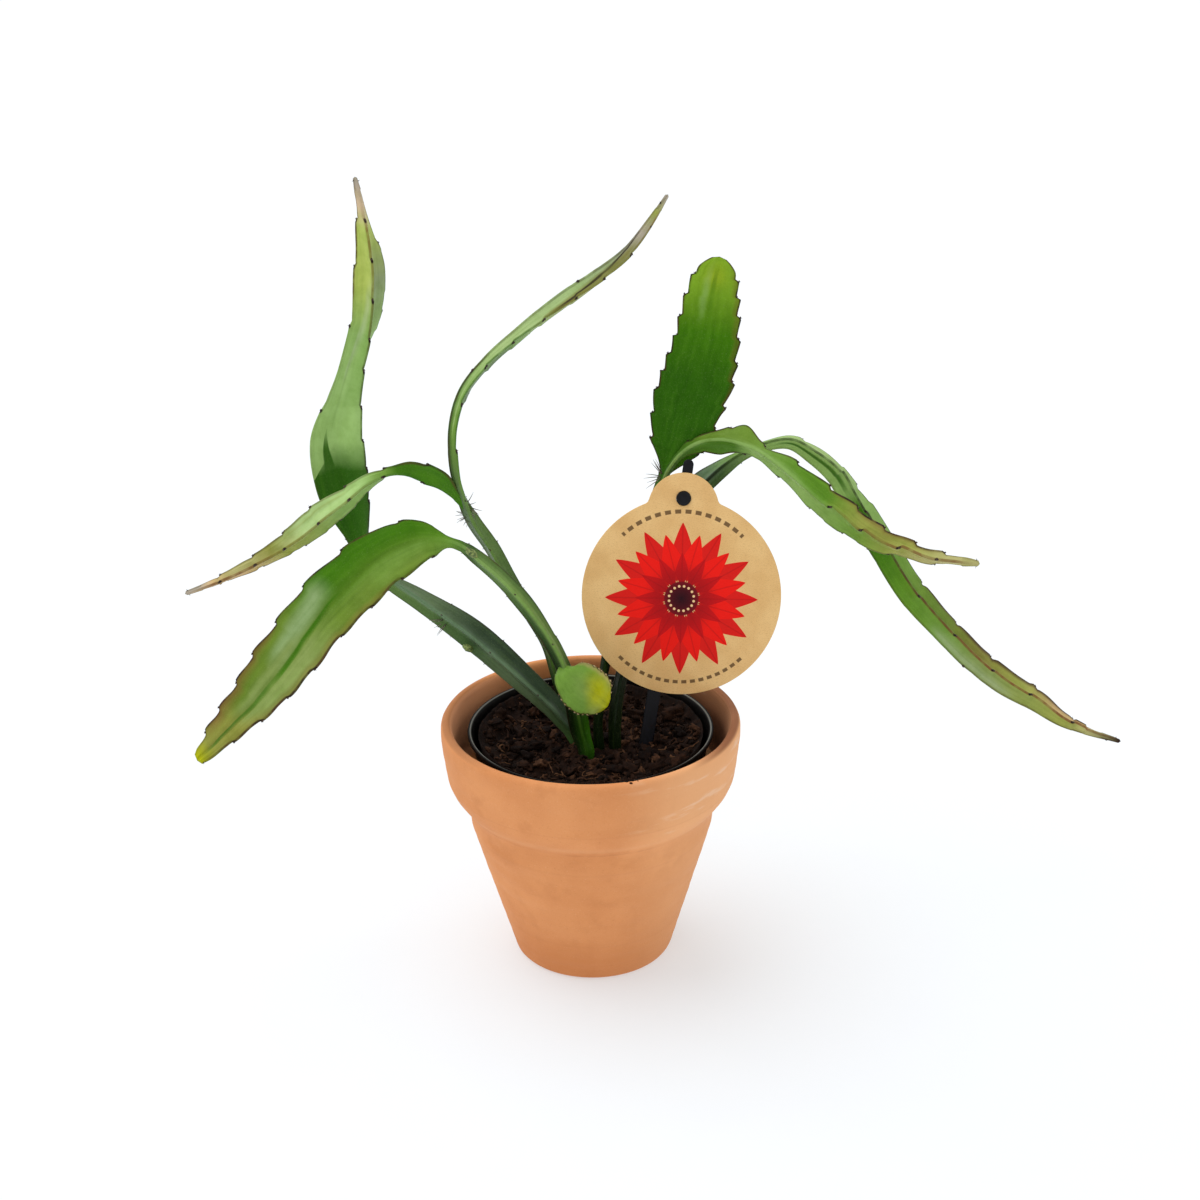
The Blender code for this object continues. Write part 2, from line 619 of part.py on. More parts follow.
def leaf_mesh(name, rows, leaf_from, edges, root=None):
    """One closed body of a leaf, or of a stem that runs on into a leaf, with its root."""
    made = bmesh.new()
    rows = [tuple(map(float, row)) for row in rows]
    root_r = 0.0
    if root:
        x, y, root_r = root
        rows.insert(0, (x, y, SOIL_TOP + COLLAR, root_r, root_r, root_r, rows[0][6]))
        leaf_from += 1
    rings = leaf_rings(made, rows, leaf_from, edges, bool(root), root_r)
    if root:
        centre, across, outward, points, along = rings[0]
        foot = Vector((x, y, SOIL_TOP - ROOT_DEPTH))
        rings.insert(0, (foot, across, outward, points, along))
    skins = [place_ring(made, *ring[:4]) for ring in rings]
    for low, high in zip(skins, skins[1:]):
        join_rings(made, low, high)
    close_end(made, skins[0], rings[0][0], False)
    end = rings[-1]
    close_end(made, skins[-1], end[0] + end[4] * 0.8, True)
    bmesh.ops.recalc_face_normals(made, faces=made.faces)
    mesh = bpy.data.meshes.new(name)
    made.to_mesh(mesh)
    made.free()
    return mesh


def bristle_mesh(name, tufts):
    """Short three-sided bristles: each tuft fans out from a point on the stem's axis."""
    made = bmesh.new()
    for x, y, z, way, thick in tufts:
        length = (thick + BRISTLE) * MM
        for number, fan in enumerate(BRISTLE_FAN):
            angle = math.radians(way + fan)
            aim = Vector((math.cos(angle), -0.35 + 0.25 * (number % 2), math.sin(angle))).normalized()
            turn = aim.to_track_quat("Z", "Y").to_matrix().to_4x4()
            move = Matrix.Translation(Vector((x, y, z)) * MM + aim * length / 2)
            bmesh.ops.create_cone(made, cap_ends=True, segments=3, radius1=BRISTLE_R * MM,
                                  radius2=BRISTLE_R / 2 * MM, depth=length, matrix=move @ turn)
    mesh = bpy.data.meshes.new(name)
    made.to_mesh(mesh)
    made.free()
    return mesh


def united(item, meshes, parent):
    """Joins meshes to an object in one Boolean union, then removes them."""
    group = new_collection(item.name + "_union")
    extras = [add_object(mesh.name, mesh, group, parent) for mesh in meshes]
    tool = item.modifiers.new("join", "BOOLEAN")
    tool.operation = "UNION"
    tool.solver = "EXACT"
    tool.operand_type = "COLLECTION"
    tool.collection = group
    tool.use_self = True
    applied(item)
    for extra in extras:
        bpy.data.objects.remove(extra, do_unlink=True)
    bpy.data.collections.remove(group)
    return item


def leafy_stem(name, stem, leaf, branches, parts, parent, finish):
    """One rooted stem with its leaf, the leaves that branch from it and its bristles."""
    root = ROOTS[name.removeprefix("stem_")]
    kind, leaf_rows = leaf
    mesh = leaf_mesh(name, stem + leaf_rows, len(stem), LEAF_EDGES[kind], root)
    made = add_object(name, mesh, parts, parent, finish)
    extra = [leaf_mesh(f"{name}_{kind}", rows, 1, LEAF_EDGES[kind]) for kind, rows in branches]
    if name in TUFTS:
        extra.append(bristle_mesh(f"{name}_bristles", TUFTS[name]))
    if extra:
        united(made, extra, parent)
    smooth_shade(made)
    return made


def leafy_stems(parts, parent):
    green = material("leaf_green", (0.10, 0.26, 0.05), 0.45)
    plan = [
        ("stem_left_low", STEM_LEFT_LOW, ("tall_left", LEAF_TALL_LEFT), []),
        ("stem_left_front", STEM_LEFT_FRONT, ("broad_left", LEAF_BROAD_LEFT), [("pad", PAD_YOUNG)]),
        ("stem_left_back", STEM_LEFT_BACK, ("slender", LEAF_SLENDER), [("arch_left", LEAF_ARCH_LEFT)]),
        ("stem_right_back", STEM_RIGHT_BACK, ("upright", LEAF_UPRIGHT), [("arch_right", LEAF_ARCH_RIGHT)]),
        ("stem_right_far", STEM_RIGHT_FAR, ("long_right", LEAF_LONG_RIGHT), []),
    ]
    for name, stem, leaf, branches in plan:
        leafy_stem(name, stem, leaf, branches, parts, parent, green)


def arc(centre, radius, start, end, count):
    """Points on an arc, angles in radians."""
    return [(centre[0] + radius * math.cos(a), centre[1] + radius * math.sin(a))
            for a in np.linspace(start, end, count)]


def tag_outline():
    """Round card with an ear on top, joined by small hollow corners."""
    far = TAG_R + TAG_FILLET
    near = TAG_EAR_R + TAG_FILLET
    up = (far**2 - near**2 + TAG_EAR_UP**2) / (2 * TAG_EAR_UP)
    side = math.sqrt(far**2 - up**2)
    low = math.atan2(up, side)
    high = math.atan2(up - TAG_EAR_UP, side)
    right = arc((side, up), TAG_FILLET, math.pi + low, math.pi + high, 4)
    ear = arc((0.0, TAG_EAR_UP), TAG_EAR_R, high, math.pi - high, 16)
    left = [(-x, y) for x, y in reversed(right)]
    body = arc((0.0, 0.0), TAG_R, math.pi - low, 2 * math.pi + low, 52)
    return body[:-1] + right[:-1] + ear[:-1] + left[:-1]


def flat_piece(name, outlines, thick, collection, parent, finish):
    """A flat closed outline, with any holes, filled and given a thickness, made into a mesh."""
    curve = bpy.data.curves.new(name, "CURVE")
    curve.dimensions = "2D"
    curve.fill_mode = "BOTH"
    curve.extrude = thick / 2 * MM
    for outline in outlines:
        spline = curve.splines.new("POLY")
        spline.points.add(len(outline) - 1)
        spline.use_cyclic_u = True
        for point, (x, y) in zip(spline.points, outline):
            point.co = (x * MM, y * MM, 0.0, 1.0)
    drawn = bpy.data.objects.new(name, curve)
    collection.objects.link(drawn)
    bpy.context.view_layer.update()
    mesh = bpy.data.meshes.new_from_object(drawn.evaluated_get(bpy.context.evaluated_depsgraph_get()))
    bpy.data.objects.remove(drawn, do_unlink=True)
    made = bmesh.new()
    made.from_mesh(mesh)
    bmesh.ops.remove_doubles(made, verts=made.verts, dist=0.00001)
    made.to_mesh(mesh)
    made.free()
    mesh.name = name
    return add_object(name, mesh, collection, parent, finish)


def tag_plane(parent):
    """Empty at the stick's foot whose XY plane is the leaning plane of stick and card."""
    made = add_object("tag_plane", None, bpy.context.scene.collection, parent)
    made.location = Vector((*STICK_FOOT, SOIL_TOP)) * MM
    made.rotation_euler = (math.radians(90.0 - TAG_LEAN), 0.0, 0.0)
    return made


def stick_outline():
    wide = STICK_WIDE / 2
    narrow = STICK_NARROW / 2
    top = arc((0.0, STICK_HEIGHT - narrow), narrow, 0.0, math.pi, 7)
    return [(0.0, -STICK_DEPTH), (wide, STICK_POINT - STICK_DEPTH), (wide, 0.0), *top,
            (-wide, 0.0), (-wide, STICK_POINT - STICK_DEPTH)]


def tag_stick(parts, plane):
    finish = material("stick_plastic", (0.02, 0.02, 0.028), 0.4)
    made = flat_piece("tag_stick", [stick_outline()], STICK_THICK, parts, plane, finish)
    made.rotation_euler = (0.0, 0.0, -math.radians(STICK_TILT))
    peg = cylinder_mesh("peg", PEG_R, 0.0, STICK_THICK / 2 + PEG_OUT, 20, 0.0, PEG_UP)
    united(made, [peg], made)
    smooth_shade(made)
    return made


def stick_hole(plane, collection):
    """Plain slot for the stick's foot."""
    low = -STICK_DEPTH - GAP
    size = (STICK_WIDE + 2 * GAP, HOLE_ABOVE - low, STICK_THICK + 2 * GAP)
    place = Matrix.Translation((0.0, (HOLE_ABOVE + low) / 2 * MM, 0.0))
    made = bmesh.new()
    bmesh.ops.create_cube(made, size=1.0, matrix=place @ Matrix.Diagonal((*(Vector(size) * MM), 1.0)))
    mesh = bpy.data.meshes.new("hole_stick")
    made.to_mesh(mesh)
    made.free()
    hole = cutter("hole_stick", mesh, collection, plane)
    hole.rotation_euler = (0.0, 0.0, -math.radians(STICK_TILT))
    return hole


def picture_tag(parts, plane):
    """The card hangs from the peg by its hole, in front of the stick."""
    finish = material("kraft_card", (0.70, 0.50, 0.27), 0.9)
    hole = arc((0.0, TAG_HOLE_UP), TAG_HOLE_R, 0.0, 2 * math.pi, 21)[:-1]
    made = flat_piece("picture_tag", [tag_outline(), hole], TAG_THICK, parts, plane, finish)
    tilt = math.radians(STICK_TILT)
    turn = math.radians(TAG_TURN)
    across = PEG_UP * math.sin(tilt) - TAG_HOLE_UP * math.sin(turn)
    up = PEG_UP * math.cos(tilt) - TAG_HOLE_UP * math.cos(turn)
    made.rotation_euler = (0.0, 0.0, -turn)
    made.location = Vector((across, up, STICK_THICK / 2 + GAP + TAG_THICK / 2)) * MM
    return made


def main():
    clear_scene()
    parts = new_collection(NAME)
    drains = new_collection("Cutters_drains")
    holes = new_collection("Cutters_soil")
    axis = add_object("pot_axis", None, bpy.context.scene.collection)
    axis.location = Vector(POT_AXIS) * MM
    clay_pot(parts, axis)
    nursery_pot(parts, drains, axis)
    plane = tag_plane(axis)
    stick_hole(plane, holes)
    soil(parts, holes, axis)
    leafy_stems(parts, axis)
    tag_stick(parts, plane)
    picture_tag(parts, plane)


main()
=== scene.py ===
"""Looks of the potted orchid cactus: fine leaves, pots, soil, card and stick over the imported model.

Places are in millimetres from the pot's own axis, with +X to the right and +Y to the back, and
become metres in the model's frame when a mesh is made. Colours are written as sRGB, 0 to 255.
"""
import math
import random
from functools import partialmethod

import bmesh
import bpy
import numpy as np
from mathutils import Matrix, Vector, noise


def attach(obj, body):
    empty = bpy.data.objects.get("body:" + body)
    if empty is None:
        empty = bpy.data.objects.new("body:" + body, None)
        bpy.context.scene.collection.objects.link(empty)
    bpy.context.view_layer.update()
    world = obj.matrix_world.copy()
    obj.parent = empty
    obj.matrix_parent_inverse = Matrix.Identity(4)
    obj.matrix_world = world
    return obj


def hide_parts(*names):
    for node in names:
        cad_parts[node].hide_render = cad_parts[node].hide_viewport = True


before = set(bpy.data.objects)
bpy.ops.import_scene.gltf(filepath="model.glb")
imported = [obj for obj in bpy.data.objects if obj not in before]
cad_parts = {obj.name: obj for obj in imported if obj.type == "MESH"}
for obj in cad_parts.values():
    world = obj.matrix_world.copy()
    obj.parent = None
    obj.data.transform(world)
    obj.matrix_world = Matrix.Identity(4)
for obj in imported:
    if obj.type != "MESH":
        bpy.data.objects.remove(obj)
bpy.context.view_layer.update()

MM = 0.001
POT_AXIS = np.array([-35.0, 0.0, 0.0])
GAP = 0.3
SHARP_FROM = 40.0              # degrees between faces that stay an edge

# Camera, as the photograph was taken. Metres and degrees.
CAMERA_AIM = (-0.0302, 0.0, 0.1666)
CAMERA_DISTANCE = 0.8465
CAMERA_HEIGHT = 23.21          # degrees above the horizon
CAMERA_ROLL = -0.74
CAMERA_LENS = 60.0             # millimetres, and so is the sensor's width
CAMERA_SENSOR = 36.0

# Studio light.
WORLD_LIGHT = 0.72
KEY_LIGHT = 1.7
KEY_FROM = (-0.75, 0.45, 1.5)
KEY_SPREAD = 70.0
FLOOR_ALBEDO = (0.47, 0.50, 0.53, 1.0)   # a cool white, against the clay's warm light
FLOOR_ALBEDO_2 = (0.48, 0.51, 0.54, 1.0)
FLOOR_GLOW = 0.45
FLOOR_HALF = 6.0               # metres from its middle to a side

# Clay pot.
CLAY_HEIGHT = 112.0
CLAY_RIM_R = 65.0
CLAY_LIP_R = 60.0
CLAY_COLLAR_LOW_R = 62.8
CLAY_COLLAR_LOW_Z = 87.0
CLAY_BODY_TOP_R = 52.6
CLAY_BODY_TOP_Z = 71.0
CLAY_BASE_R = 35.3
CLAY_WALL = 5.2
CLAY_FLOOR = 9.0
CLAY_HOLE_R = 10.0
# Heights of a painted shade line at the step under the collar, and of a painted highlight band above it.
CLAY_LEDGE_SHADE_Z = 74.2            # step under the collar
CLAY_HIGHLIGHT_Z = 78.0
CLAY_SIDES = 192

# Nursery pot.
NURSERY_RIM_R = 53.5
NURSERY_RIM_Z = 107.0
NURSERY_BASE_Z = 28.0
NURSERY_WALL = 1.0
NURSERY_BEAD = 2.2
NURSERY_SIDES = 160
NURSERY_HUB_R = 6.0

# Potting soil.
SOIL_TOP = 97.0
SOIL_MOUND = 1.5
SOIL_HEAP = 7.8                # how much higher it lies against the wall
SOIL_RINGS = 80
SOIL_SIDES = 300
ROOT_DEPTH = 30.0
CRUMB_COUNT = 900
BIG_EVERY = 9                  # one crumb in so many is a large one
FIBRE_COUNT = 150
LIP_CRUMB_COUNT = 7
LIP_CRUMB_ANGLE = -74.5        # degrees, where they lie on the clay lip
SOIL_SEED = 29

# Leaf blades and ribs.
EDGE = 0.9
CORE = 2.9
FOLD = 30.0
COLLAR = 2.5
ROUND_OUT = 9.0
RING_STEP = 0.8
LOBE_PEAK = 0.91
FRONT = Vector((0.0, -0.92, 0.39))
RIM = 1.3                      # width of the coloured band along a margin
WING_MID = 0.5
CREST_FROM = 2.2               # lower ridges have no crest
SHORTEST_STEM = 12.0           # shorter stems have no areoles
AREOLE_SIZE = 0.6
# Points of a leaf's section, counted from its left margin round its back: those where areoles sit
# on the left and right margins and on the crest, the shares in which the margins sway and the
# crest steps aside, and their places on a round stem in degrees.
SPOT_POINTS = ((0, 1), (7, 8), (14, 15))
EDGE_POINTS = SPOT_POINTS[0] + SPOT_POINTS[1]
CREST_POINTS = SPOT_POINTS[2]
BACK_POINTS = range(1, 8)
SWAY_SHARES = {0: 1.0, 1: 1.0, 2: 0.6, 20: 0.6, 6: -0.6, 7: -1.0, 8: -1.0, 9: -0.6}
STEP_SHARES = {12: 0.5, 13: 0.9, 14: 1.0, 15: 1.0, 16: 0.9, 17: 0.5}
ROUND_ANGLES = (172, 188, 200, 225, 270, 315, 340, 352,
                8, 20, 34, 48, 62, 74, 84, 96, 106, 118, 132, 146, 160)
# Material slots that all leafy stems share.
CORK_SLOT, HAIR_SLOT, HUSK_SLOT, KNOT_SLOT = range(4)

# Card tag on its stick.
TAG_LEAN = 15.0
STICK_FOOT = (23.8, -2.0)
STICK_TILT = 9.0
STICK_WIDE = 6.0
STICK_NARROW = 4.4
STICK_THICK = 2.4
STICK_HEIGHT = 127.2
STICK_DEPTH = 34.0
STICK_POINT = 8.0
PEG_UP = 110.5
PEG_OUT = 2.2
TAG_R = 42.9
TAG_EAR_R = 15.2
TAG_EAR_UP = 38.0
TAG_HOLE_UP = 42.2
TAG_HOLE_R = 3.2
TAG_THICK = 1.0
TAG_FILLET = 3.0
TAG_TURN = 1.7
OFF_CARD = 400.0               # how far aside the back is placed, where nothing is printed
RAY_COUNT = 12
RAY_LAYERS = (                 # base radius, widest radius, tip radius, half width, turn, sRGB
    (9.0, 21.5, 33.0, 4.7, 0.0, (226, 28, 22)),
    (7.0, 17.0, 28.5, 4.9, 0.5, (248, 26, 16)),
    (4.0, 11.5, 20.0, 3.2, 0.0, (206, 16, 20)),
)
BEAD_COUNT = 16
BEAD_RING_R = 5.4
ARC_REACH = 0.78               # half the angle that a row of dashes spans
DASH_ROWS = (                  # middle angle, radius, half height, pitch
    (math.pi / 2, 36.6, 0.95, 0.12),
    (-math.pi / 2, 37.4, 0.8, 0.1),
)

# Routes of the leafy stems, close to those of the part's source: x, y, z, then the lengths of the
# left wing, right wing and ridge, then the turn in degrees. Roots are x, y and radius.
ROOTS = {
    "left_low": (-7.0, 2.0, 3.6),
    "left_front": (-2.0, -9.5, 3.6),
    "left_back": (-9.5, 15.0, 3.2),
    "right_back": (3.5, -3.0, 2.4),
    "right_far": (10.5, -2.0, 2.8),
}
STEM_LEFT_LOW = [
    (-13, 5, 109, 5, 5, 4.6, -4),
    (-31, 12, 126, 6.8, 6.4, 5.4, -6),
    (-52, 22, 142, 7.8, 6.8, 5.4, -8),
    (-75, 32, 155, 5.6, 4.6, 4, 0),
    (-90, 38, 163, 3.8, 3.2, 3, 20),
    (-99, 42, 170, 2.6, 2.6, 2.6, 45),
]
LEAF_TALL_LEFT = [
    (-102.5, 45, 181, 6, 5.4, 7.2, 60),
    (-104.5, 48, 193, 13.2, 6.2, 10.6, 60),
    (-106.5, 51, 208, 15.3, 6.8, 12.6, 60),
    (-107.5, 53, 222, 14, 7, 12.6, 60),
    (-105.5, 54, 237, 9.2, 7, 10.8, 60),
    (-101, 54, 253, 6.2, 7.6, 8.5, 54),
    (-95.5, 54, 268, 6.2, 8.8, 7.2, 42),
    (-91.5, 52, 284, 7.4, 8.6, 6.2, 26),
    (-90.5, 50, 300, 6.4, 8.2, 6, 22),
    (-91.5, 48, 315, 3.6, 5, 4.8, 24),
    (-92.5, 47, 327, 1.8, 2.2, 2.2, 28),
    (-93.5, 45, 337, 0.9, 0.9, 0.9, 30),
]
STEM_LEFT_FRONT = [
    (-4, -8, 107, 4.6, 5.2, 4.4, 8),
    (-7, -9, 124, 4.2, 4.6, 3.6, 10),
    (-12, -9, 142, 3.4, 3.9, 3, 10),
    (-18, -10, 155, 3.4, 4.1, 3, 8),
    (-27, -11, 170, 3.8, 4.4, 3, 0),
    (-37, -12, 183, 3.8, 3.8, 3, -8),
    (-46, -13, 192, 3.2, 3.4, 2.6, -6),
]
LEAF_BROAD_LEFT = [
    (-51, -14, 197, 2.6, 2.6, 2.2, 4),
    (-57, -15, 200, 3.2, 3, 1.8, 10),
    (-66, -17, 201, 9.4, 8.4, 1.4, 18),
    (-75, -19, 199, 13, 12.1, 1.1, 20),
    (-85, -21, 194, 14.4, 13.2, 1, 20),
    (-97, -25, 184, 14.8, 15.2, 1, 20),
    (-110, -29, 171, 13.8, 15.2, 1, 20),
    (-119, -32, 159, 12.4, 15.6, 1, 20),
    (-128, -35, 148, 10.9, 15.3, 1, 20),
    (-138, -38, 137, 8.3, 12.8, 1, 20),
    (-146, -41, 130, 6.4, 10.4, 1, 20),
    (-154, -44, 123, 4.9, 7.3, 1, 20),
    (-161, -46, 117, 2.4, 3, 1, 20),
]
STEM_LEFT_BACK = [
    (-11, 15.5, 110, 3.6, 3.6, 3.4, -10),
    (-14.5, 14, 125, 3.4, 3.4, 3.2, -10),
    (-18.5, 11, 142, 3.4, 3.4, 3.2, -10),
    (-25.5, 8.5, 157, 3.4, 3.4, 3.2, -10),
    (-34, 6, 174, 3.4, 3.8, 3.2, -10),
    (-41, 5, 189, 3.2, 3.9, 3, -10),
    (-48, 3, 202, 3, 3.5, 2.8, 0),
]
LEAF_SLENDER = [
    (-52, 2, 213, 2.2, 2.4, 2.2, 30),
    (-55, 3, 228, 2.4, 4, 2.6, 58),
    (-55, 5, 242, 1.9, 6, 2.6, 60),
    (-51, 8, 256, 1.6, 7.6, 2.8, 60),
    (-41, 14, 268, 1.8, 9, 3, 60),
    (-27, 23, 278, 2.3, 9.6, 3.5, 60),
    (-9, 34, 288, 3.4, 9.6, 3.8, 60),
    (5, 43, 295, 3.6, 7.8, 3.7, 60),
    (18.5, 51, 304, 2.6, 5.2, 3, 60),
    (28.5, 57, 316, 1.3, 3, 2, 60),
    (35, 60, 325, 0.9, 0.9, 0.9, 60),
]
LEAF_ARCH_LEFT = [
    (-49, 3, 206, 2, 2, 1.6, -60),
    (-55, 1, 215, 2.4, 2.4, 2.4, -60),
    (-61, -1, 222, 3.6, 4.8, 4.4, -60),
    (-67, -2, 225, 3.8, 5.2, 4.8, -60),
    (-73, -3, 227, 3.8, 4, 3.6, -58),
    (-81, -5, 227, 3.4, 2.4, 2.4, -46),
    (-89, -6, 224, 5, 3, 3.6, -30),
    (-99, -8, 217, 7.1, 4.4, 5, -25),
    (-110, -9, 209, 8.4, 6, 5.4, -25),
    (-119, -11, 202, 7.2, 5.5, 5, -25),
    (-130, -12, 195, 5.5, 4, 4, -25),
    (-142, -14, 189, 4, 2.8, 3, -25),
    (-155, -15, 183, 2, 1.8, 2, -25),
    (-166, -16, 179, 0.9, 0.9, 0.9, -25),
]
STEM_RIGHT_BACK = [
    (3.2, -2, 108, 2.5, 2.5, 2.4, 0),
    (4.8, 5, 121, 2.6, 2.6, 2.4, 0),
    (9, 14.5, 142, 2.6, 2.6, 2.4, 0),
    (16.5, 25, 167, 2.6, 2.6, 2.4, 0),
    (25, 34, 190, 2.6, 2.6, 2.4, 0),
    (31, 40, 202, 2.6, 2.6, 2.4, 0),
]
LEAF_UPRIGHT = [
    (34, 41, 209, 3.4, 2.8, 2, 0),
    (37, 41, 216, 9.4, 7.8, 1.6, 0),
    (39.5, 42, 223, 13.6, 12.2, 1.5, 0),
    (42.5, 43, 232, 15.8, 14.6, 1.5, 0),
    (44.5, 44, 240, 16.5, 15.8, 1.5, 0),
    (47.5, 45, 249, 16.5, 16.3, 1.5, 0),
    (49.5, 46, 257, 15.7, 15.9, 1.5, 0),
    (51.5, 47, 266, 14.6, 14.8, 1.5, 0),
    (52.5, 48, 274, 13.7, 13.9, 1.5, 0),
    (53.5, 49, 282, 12.6, 12.8, 1.4, 0),
    (54.9, 50, 291, 10.7, 10.8, 1.3, 0),
    (56, 50, 296.5, 8.4, 8.6, 1.1, 0),
    (56.8, 51, 300.2, 3.2, 3.2, 0.9, 0),
]
LEAF_ARCH_RIGHT = [
    (32, 40, 204, 1.8, 1.8, 1.6, 0),
    (35.5, 40, 211, 2, 2, 2.2, 0),
    (40.5, 39, 218, 2.8, 2.8, 2.6, 0),
    (47.5, 38, 223, 3.8, 5, 2.8, 0),
    (57.5, 36, 225, 5.3, 6.6, 2.8, 0),
    (65.5, 33.5, 224, 9.5, 4.2, 2.8, 2),
    (72.5, 31, 222, 4.6, 4, 3, 6),
    (83.5, 25, 216, 6, 5.2, 3.6, 15),
    (92.5, 20, 210, 6.4, 6.8, 4.2, 20),
    (100.5, 16, 204, 6.8, 8.4, 4.5, 22),
    (108.5, 12, 199, 6.8, 8.4, 4.5, 22),
    (115.5, 9, 194, 6.4, 7.4, 4.2, 22),
    (124.5, 4, 190, 5.8, 6.2, 3.6, 22),
    (132.5, 1, 188, 4.9, 4.6, 3, 22),
    (142.5, -4, 186, 3.8, 3.8, 2.4, 22),
    (152.5, -8, 186, 2.7, 2.7, 1.8, 22),
    (161.5, -12, 186, 1.2, 1.2, 0.9, 22),
]
STEM_RIGHT_FAR = [
    (10.5, -1, 108, 3.2, 3.2, 3, 0),
    (12, 5, 120, 3.2, 3.2, 3, 0),
    (20, 19, 144, 3.2, 3.2, 3, 0),
    (30, 31, 169, 3.2, 3.2, 3, 0),
    (40, 40, 188, 4.4, 3.2, 3, 0),
    (49, 44, 200, 6.8, 4.4, 3.2, 0),
    (58.5, 47, 208, 4.6, 4, 3, -8),
]
LEAF_LONG_RIGHT = [
    (67.5, 49, 213.5, 3, 2.8, 3, -14),
    (77.5, 50, 217.5, 3, 2.8, 3, -18),
    (88.5, 50, 219, 4.5, 3.4, 3.2, -20),
    (99.5, 49, 213, 6.1, 4.4, 4, -20),
    (109, 47, 205, 6.5, 5.2, 4.6, -22),
    (115.5, 45, 194, 9, 5.4, 5, -24),
    (124.5, 43, 179, 11.6, 5.3, 5, -26),
    (133.5, 40, 164, 12, 5.2, 5, -26),
    (142.5, 37, 151, 12.3, 5.2, 5, -26),
    (156, 34, 136, 11.7, 5, 5, -26),
    (169, 31, 123, 11.5, 4.9, 5, -26),
    (183, 28, 112, 10.8, 4.6, 4.6, -26),
    (199, 25, 103, 9, 3.9, 4, -26),
    (211, 23, 95, 6.4, 2.9, 3.2, -26),
    (221, 21, 91, 3.4, 2, 2.2, -26),
    (236, 18, 87, 0.9, 0.9, 0.9, -26),
]
PAD_YOUNG = [
    (-12, -9.5, 140, 1.6, 1.6, 1, 0),
    (-10, -13, 138, 6.2, 6.2, 1, 0),
    (-6, -14, 135, 9.8, 9.8, 1, 0),
    (-2, -15, 132, 10.8, 10.8, 1, 0),
    (2, -15.5, 129, 10, 10, 1, 0),
    (5, -16, 126.5, 7, 7, 1, 0),
    (7, -16, 125, 3, 3, 0.9, 0),
]
# Bristles: x, y, z, the way they point in degrees, thickness of the stem, length.
TUFTS = {
    "stem_left_low": [(-61, 26, 147.5, 225, 6.4, 3.4)],
    "stem_left_back": [(-50.5, 2.5, 209, 5, 2.6, 5.0), (-49, 3, 204.5, 205, 2.8, 4.0)],
    "stem_right_back": [(33, 39.5, 207.5, 168, 3.0, 8.0)],
}
# Dry swellings on the stems: x, y, z, half length, half thickness, lean in degrees.
KNOBS = {
    "stem_left_low": [(-53.1, 17.0, 137.3, 2.6, 1.7, 30.0)],
    "stem_left_front": [(-48.0, -15.0, 195.0, 3.6, 1.5, 40.0)],
}
# Skin colours, sRGB.
PALETTE = {
    "night": (14, 28, 8), "pine": (36, 56, 32), "slate": (98, 118, 86), "moss": (62, 92, 46),
    "stem": (96, 126, 66), "forest": (48, 99, 8), "leaf": (66, 120, 8), "grass": (96, 144, 34),
    "fresh": (118, 158, 62), "apple": (148, 184, 102), "pale": (178, 204, 136), "lime": (132, 172, 42),
    "gold": (182, 184, 6), "olive": (158, 164, 76), "bronze": (128, 122, 50), "straw": (182, 176, 116),
    "tan": (206, 174, 122), "ash": (180, 168, 152), "rust": (124, 80, 44), "plum": (50, 32, 28),
    "mist": (180, 194, 156), "sage": (164, 176, 134), "dusk": (56, 74, 54), "herb": (106, 134, 42),
    "dill": (138, 158, 86), "celery": (164, 200, 120), "wheat": (182, 198, 96), "blush": (222, 192, 160),
    "meadow": (116, 150, 52), "ivy": (76, 120, 32), "lichen": (108, 134, 104), "balm": (152, 178, 122),
    "willow": (146, 160, 116), "khaki": (144, 146, 64),
}
